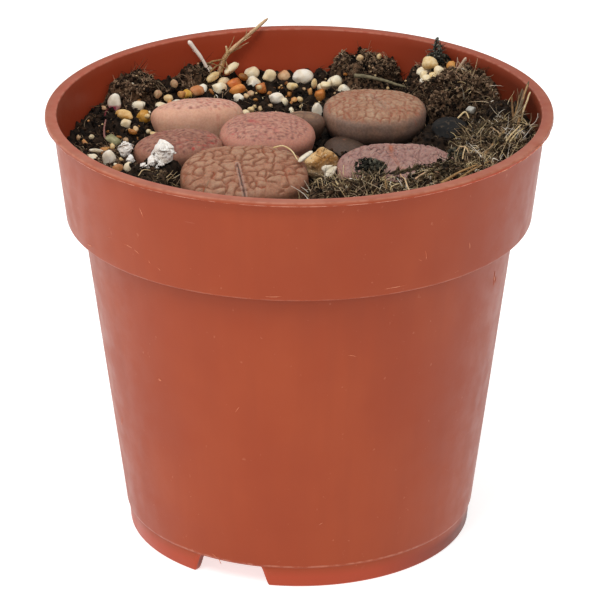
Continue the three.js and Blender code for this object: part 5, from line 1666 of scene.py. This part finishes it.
def onMounds(draw, count, mounds=mounds):
    share = np.array([a * b for _, (a, b, _) in mounds])
    pick = draw.choice(len(mounds), count, p=share / share.sum())
    middle, half = (np.array([mound[k] for mound in mounds])[pick] for k in (0, 1))
    facing = unit(draw.normal(size=(count, 3)) * np.array([1, 1, 0.6]) + np.array([0, -0.2, 0.7]))
    lumps = 1 + 0.22 * softNoise(facing * half, 1.8, 331)[:, None]
    return keepInside(middle + facing * half * lumps, 0.5), unit(facing / half)


def makeMounds():
    draw = np.random.default_rng(330)
    core = {**crumbly, "grow": 0.94}
    meshes = [grainMesh((np.array(at), np.eye(3), np.array(half)), core, 332 + k, 20, 32)[:3]
              for k, (at, half) in enumerate(mounds)]
    points, quads, triangles = joinMeshes(meshes)
    values = {"moss": np.ones(len(points)), "brown": np.zeros(len(points))}
    addPiece("moss_cushions", keepInside(points, 0.6), quads, triangles, peat, "peat", values=values)
    small, large = {"size": (0.2, 0.95), "rise": 0.1}, {"size": (0.35, 1.1), "rise": 0.05}
    moss, pale, dark = (threads[name] for name in ("moss_threads", "pale_fibres", "peat_fibres"))
    dark = {**dark, "length": (0.4, 1.3)}
    makeCrumbs("moss_cushion_crumbs", small, 340, toned["mossCrumb"], "peat", onMounds(draw, 1500))
    makeThreads("moss_cushion_threads", moss, 341, toned["mossThread"], "peat", onMounds(draw, 2600))
    makeThreads("moss_cushion_fibres", pale, 342, toned["paleFibre"], "straw", onMounds(draw, 150))
    makeCrumbs("dark_lump_crumbs", large, 343, toned["lumpCrumb"], "peat", onMounds(draw, 420, darkLumps))
    makeThreads("dark_lump_fibres", dark, 344, toned["peatFibre"], "peat", onMounds(draw, 110, darkLumps))


makeMounds()


# Leafy moss sprigs: a stem with small pointed leaves set along it
sprigs = [
    ([(8.5, -24.3, 72.4), (11.7, -26.7, 72.8), (15.4, -25.4, 73), (19.4, -24, 73.2)], 26),
    ([(15.2, -23.6, 71.8), (17.4, -22.7, 72.1), (19.5, -21.4, 72.5)], 22),
    ([(18.6, -27, 72.4), (21.4, -25.2, 73.1), (23.6, -25, 72.8)], 16),
    ([(30.6, -14.8, 71.6), (32.2, -11.4, 72.6), (33.6, -8.2, 72.8)], 20),
    ([(28, -4.6, 71), (30, -2, 71.8), (32.6, -1, 71.8)], 20),
]


def makeSprigs():
    draw = np.random.default_rng(350)
    paths, radii, tones = [], [], []
    steps = 10
    t = np.linspace(0, 1, steps)[:, None]
    for points, leaves in sprigs:
        stem = smoothPath(points, 60)
        paths.append(stem[np.linspace(0, 59, steps).astype(int)])
        radii.append(0.16 * (1 - 0.6 * t[:, 0]))
        tones.append(0.3)
        for place in np.linspace(4, 58, leaves).astype(int):
            along = unit(stem[min(place + 1, 59)] - stem[place - 1])
            reach = unit(along * 0.8 + draw.normal(size=3) * np.array([0.7, 0.7, 0.5]))
            reach = reach * (0.7 + 0.6 * draw.random())
            paths.append(stem[place] + reach * t + np.array([0, 0, 0.3]) * t**2)
            radii.append(0.15 * np.sin(np.pi * (0.15 + 0.85 * t[:, 0])) + 0.02)
            tones.append(draw.random() * 0.8)
    paths = keepInside(np.array(paths), 0.3)
    addThreads("moss_sprigs", paths, np.array(radii), 4, tones, toned["mossLeaf"], "peat")


makeSprigs()
print("moss done")
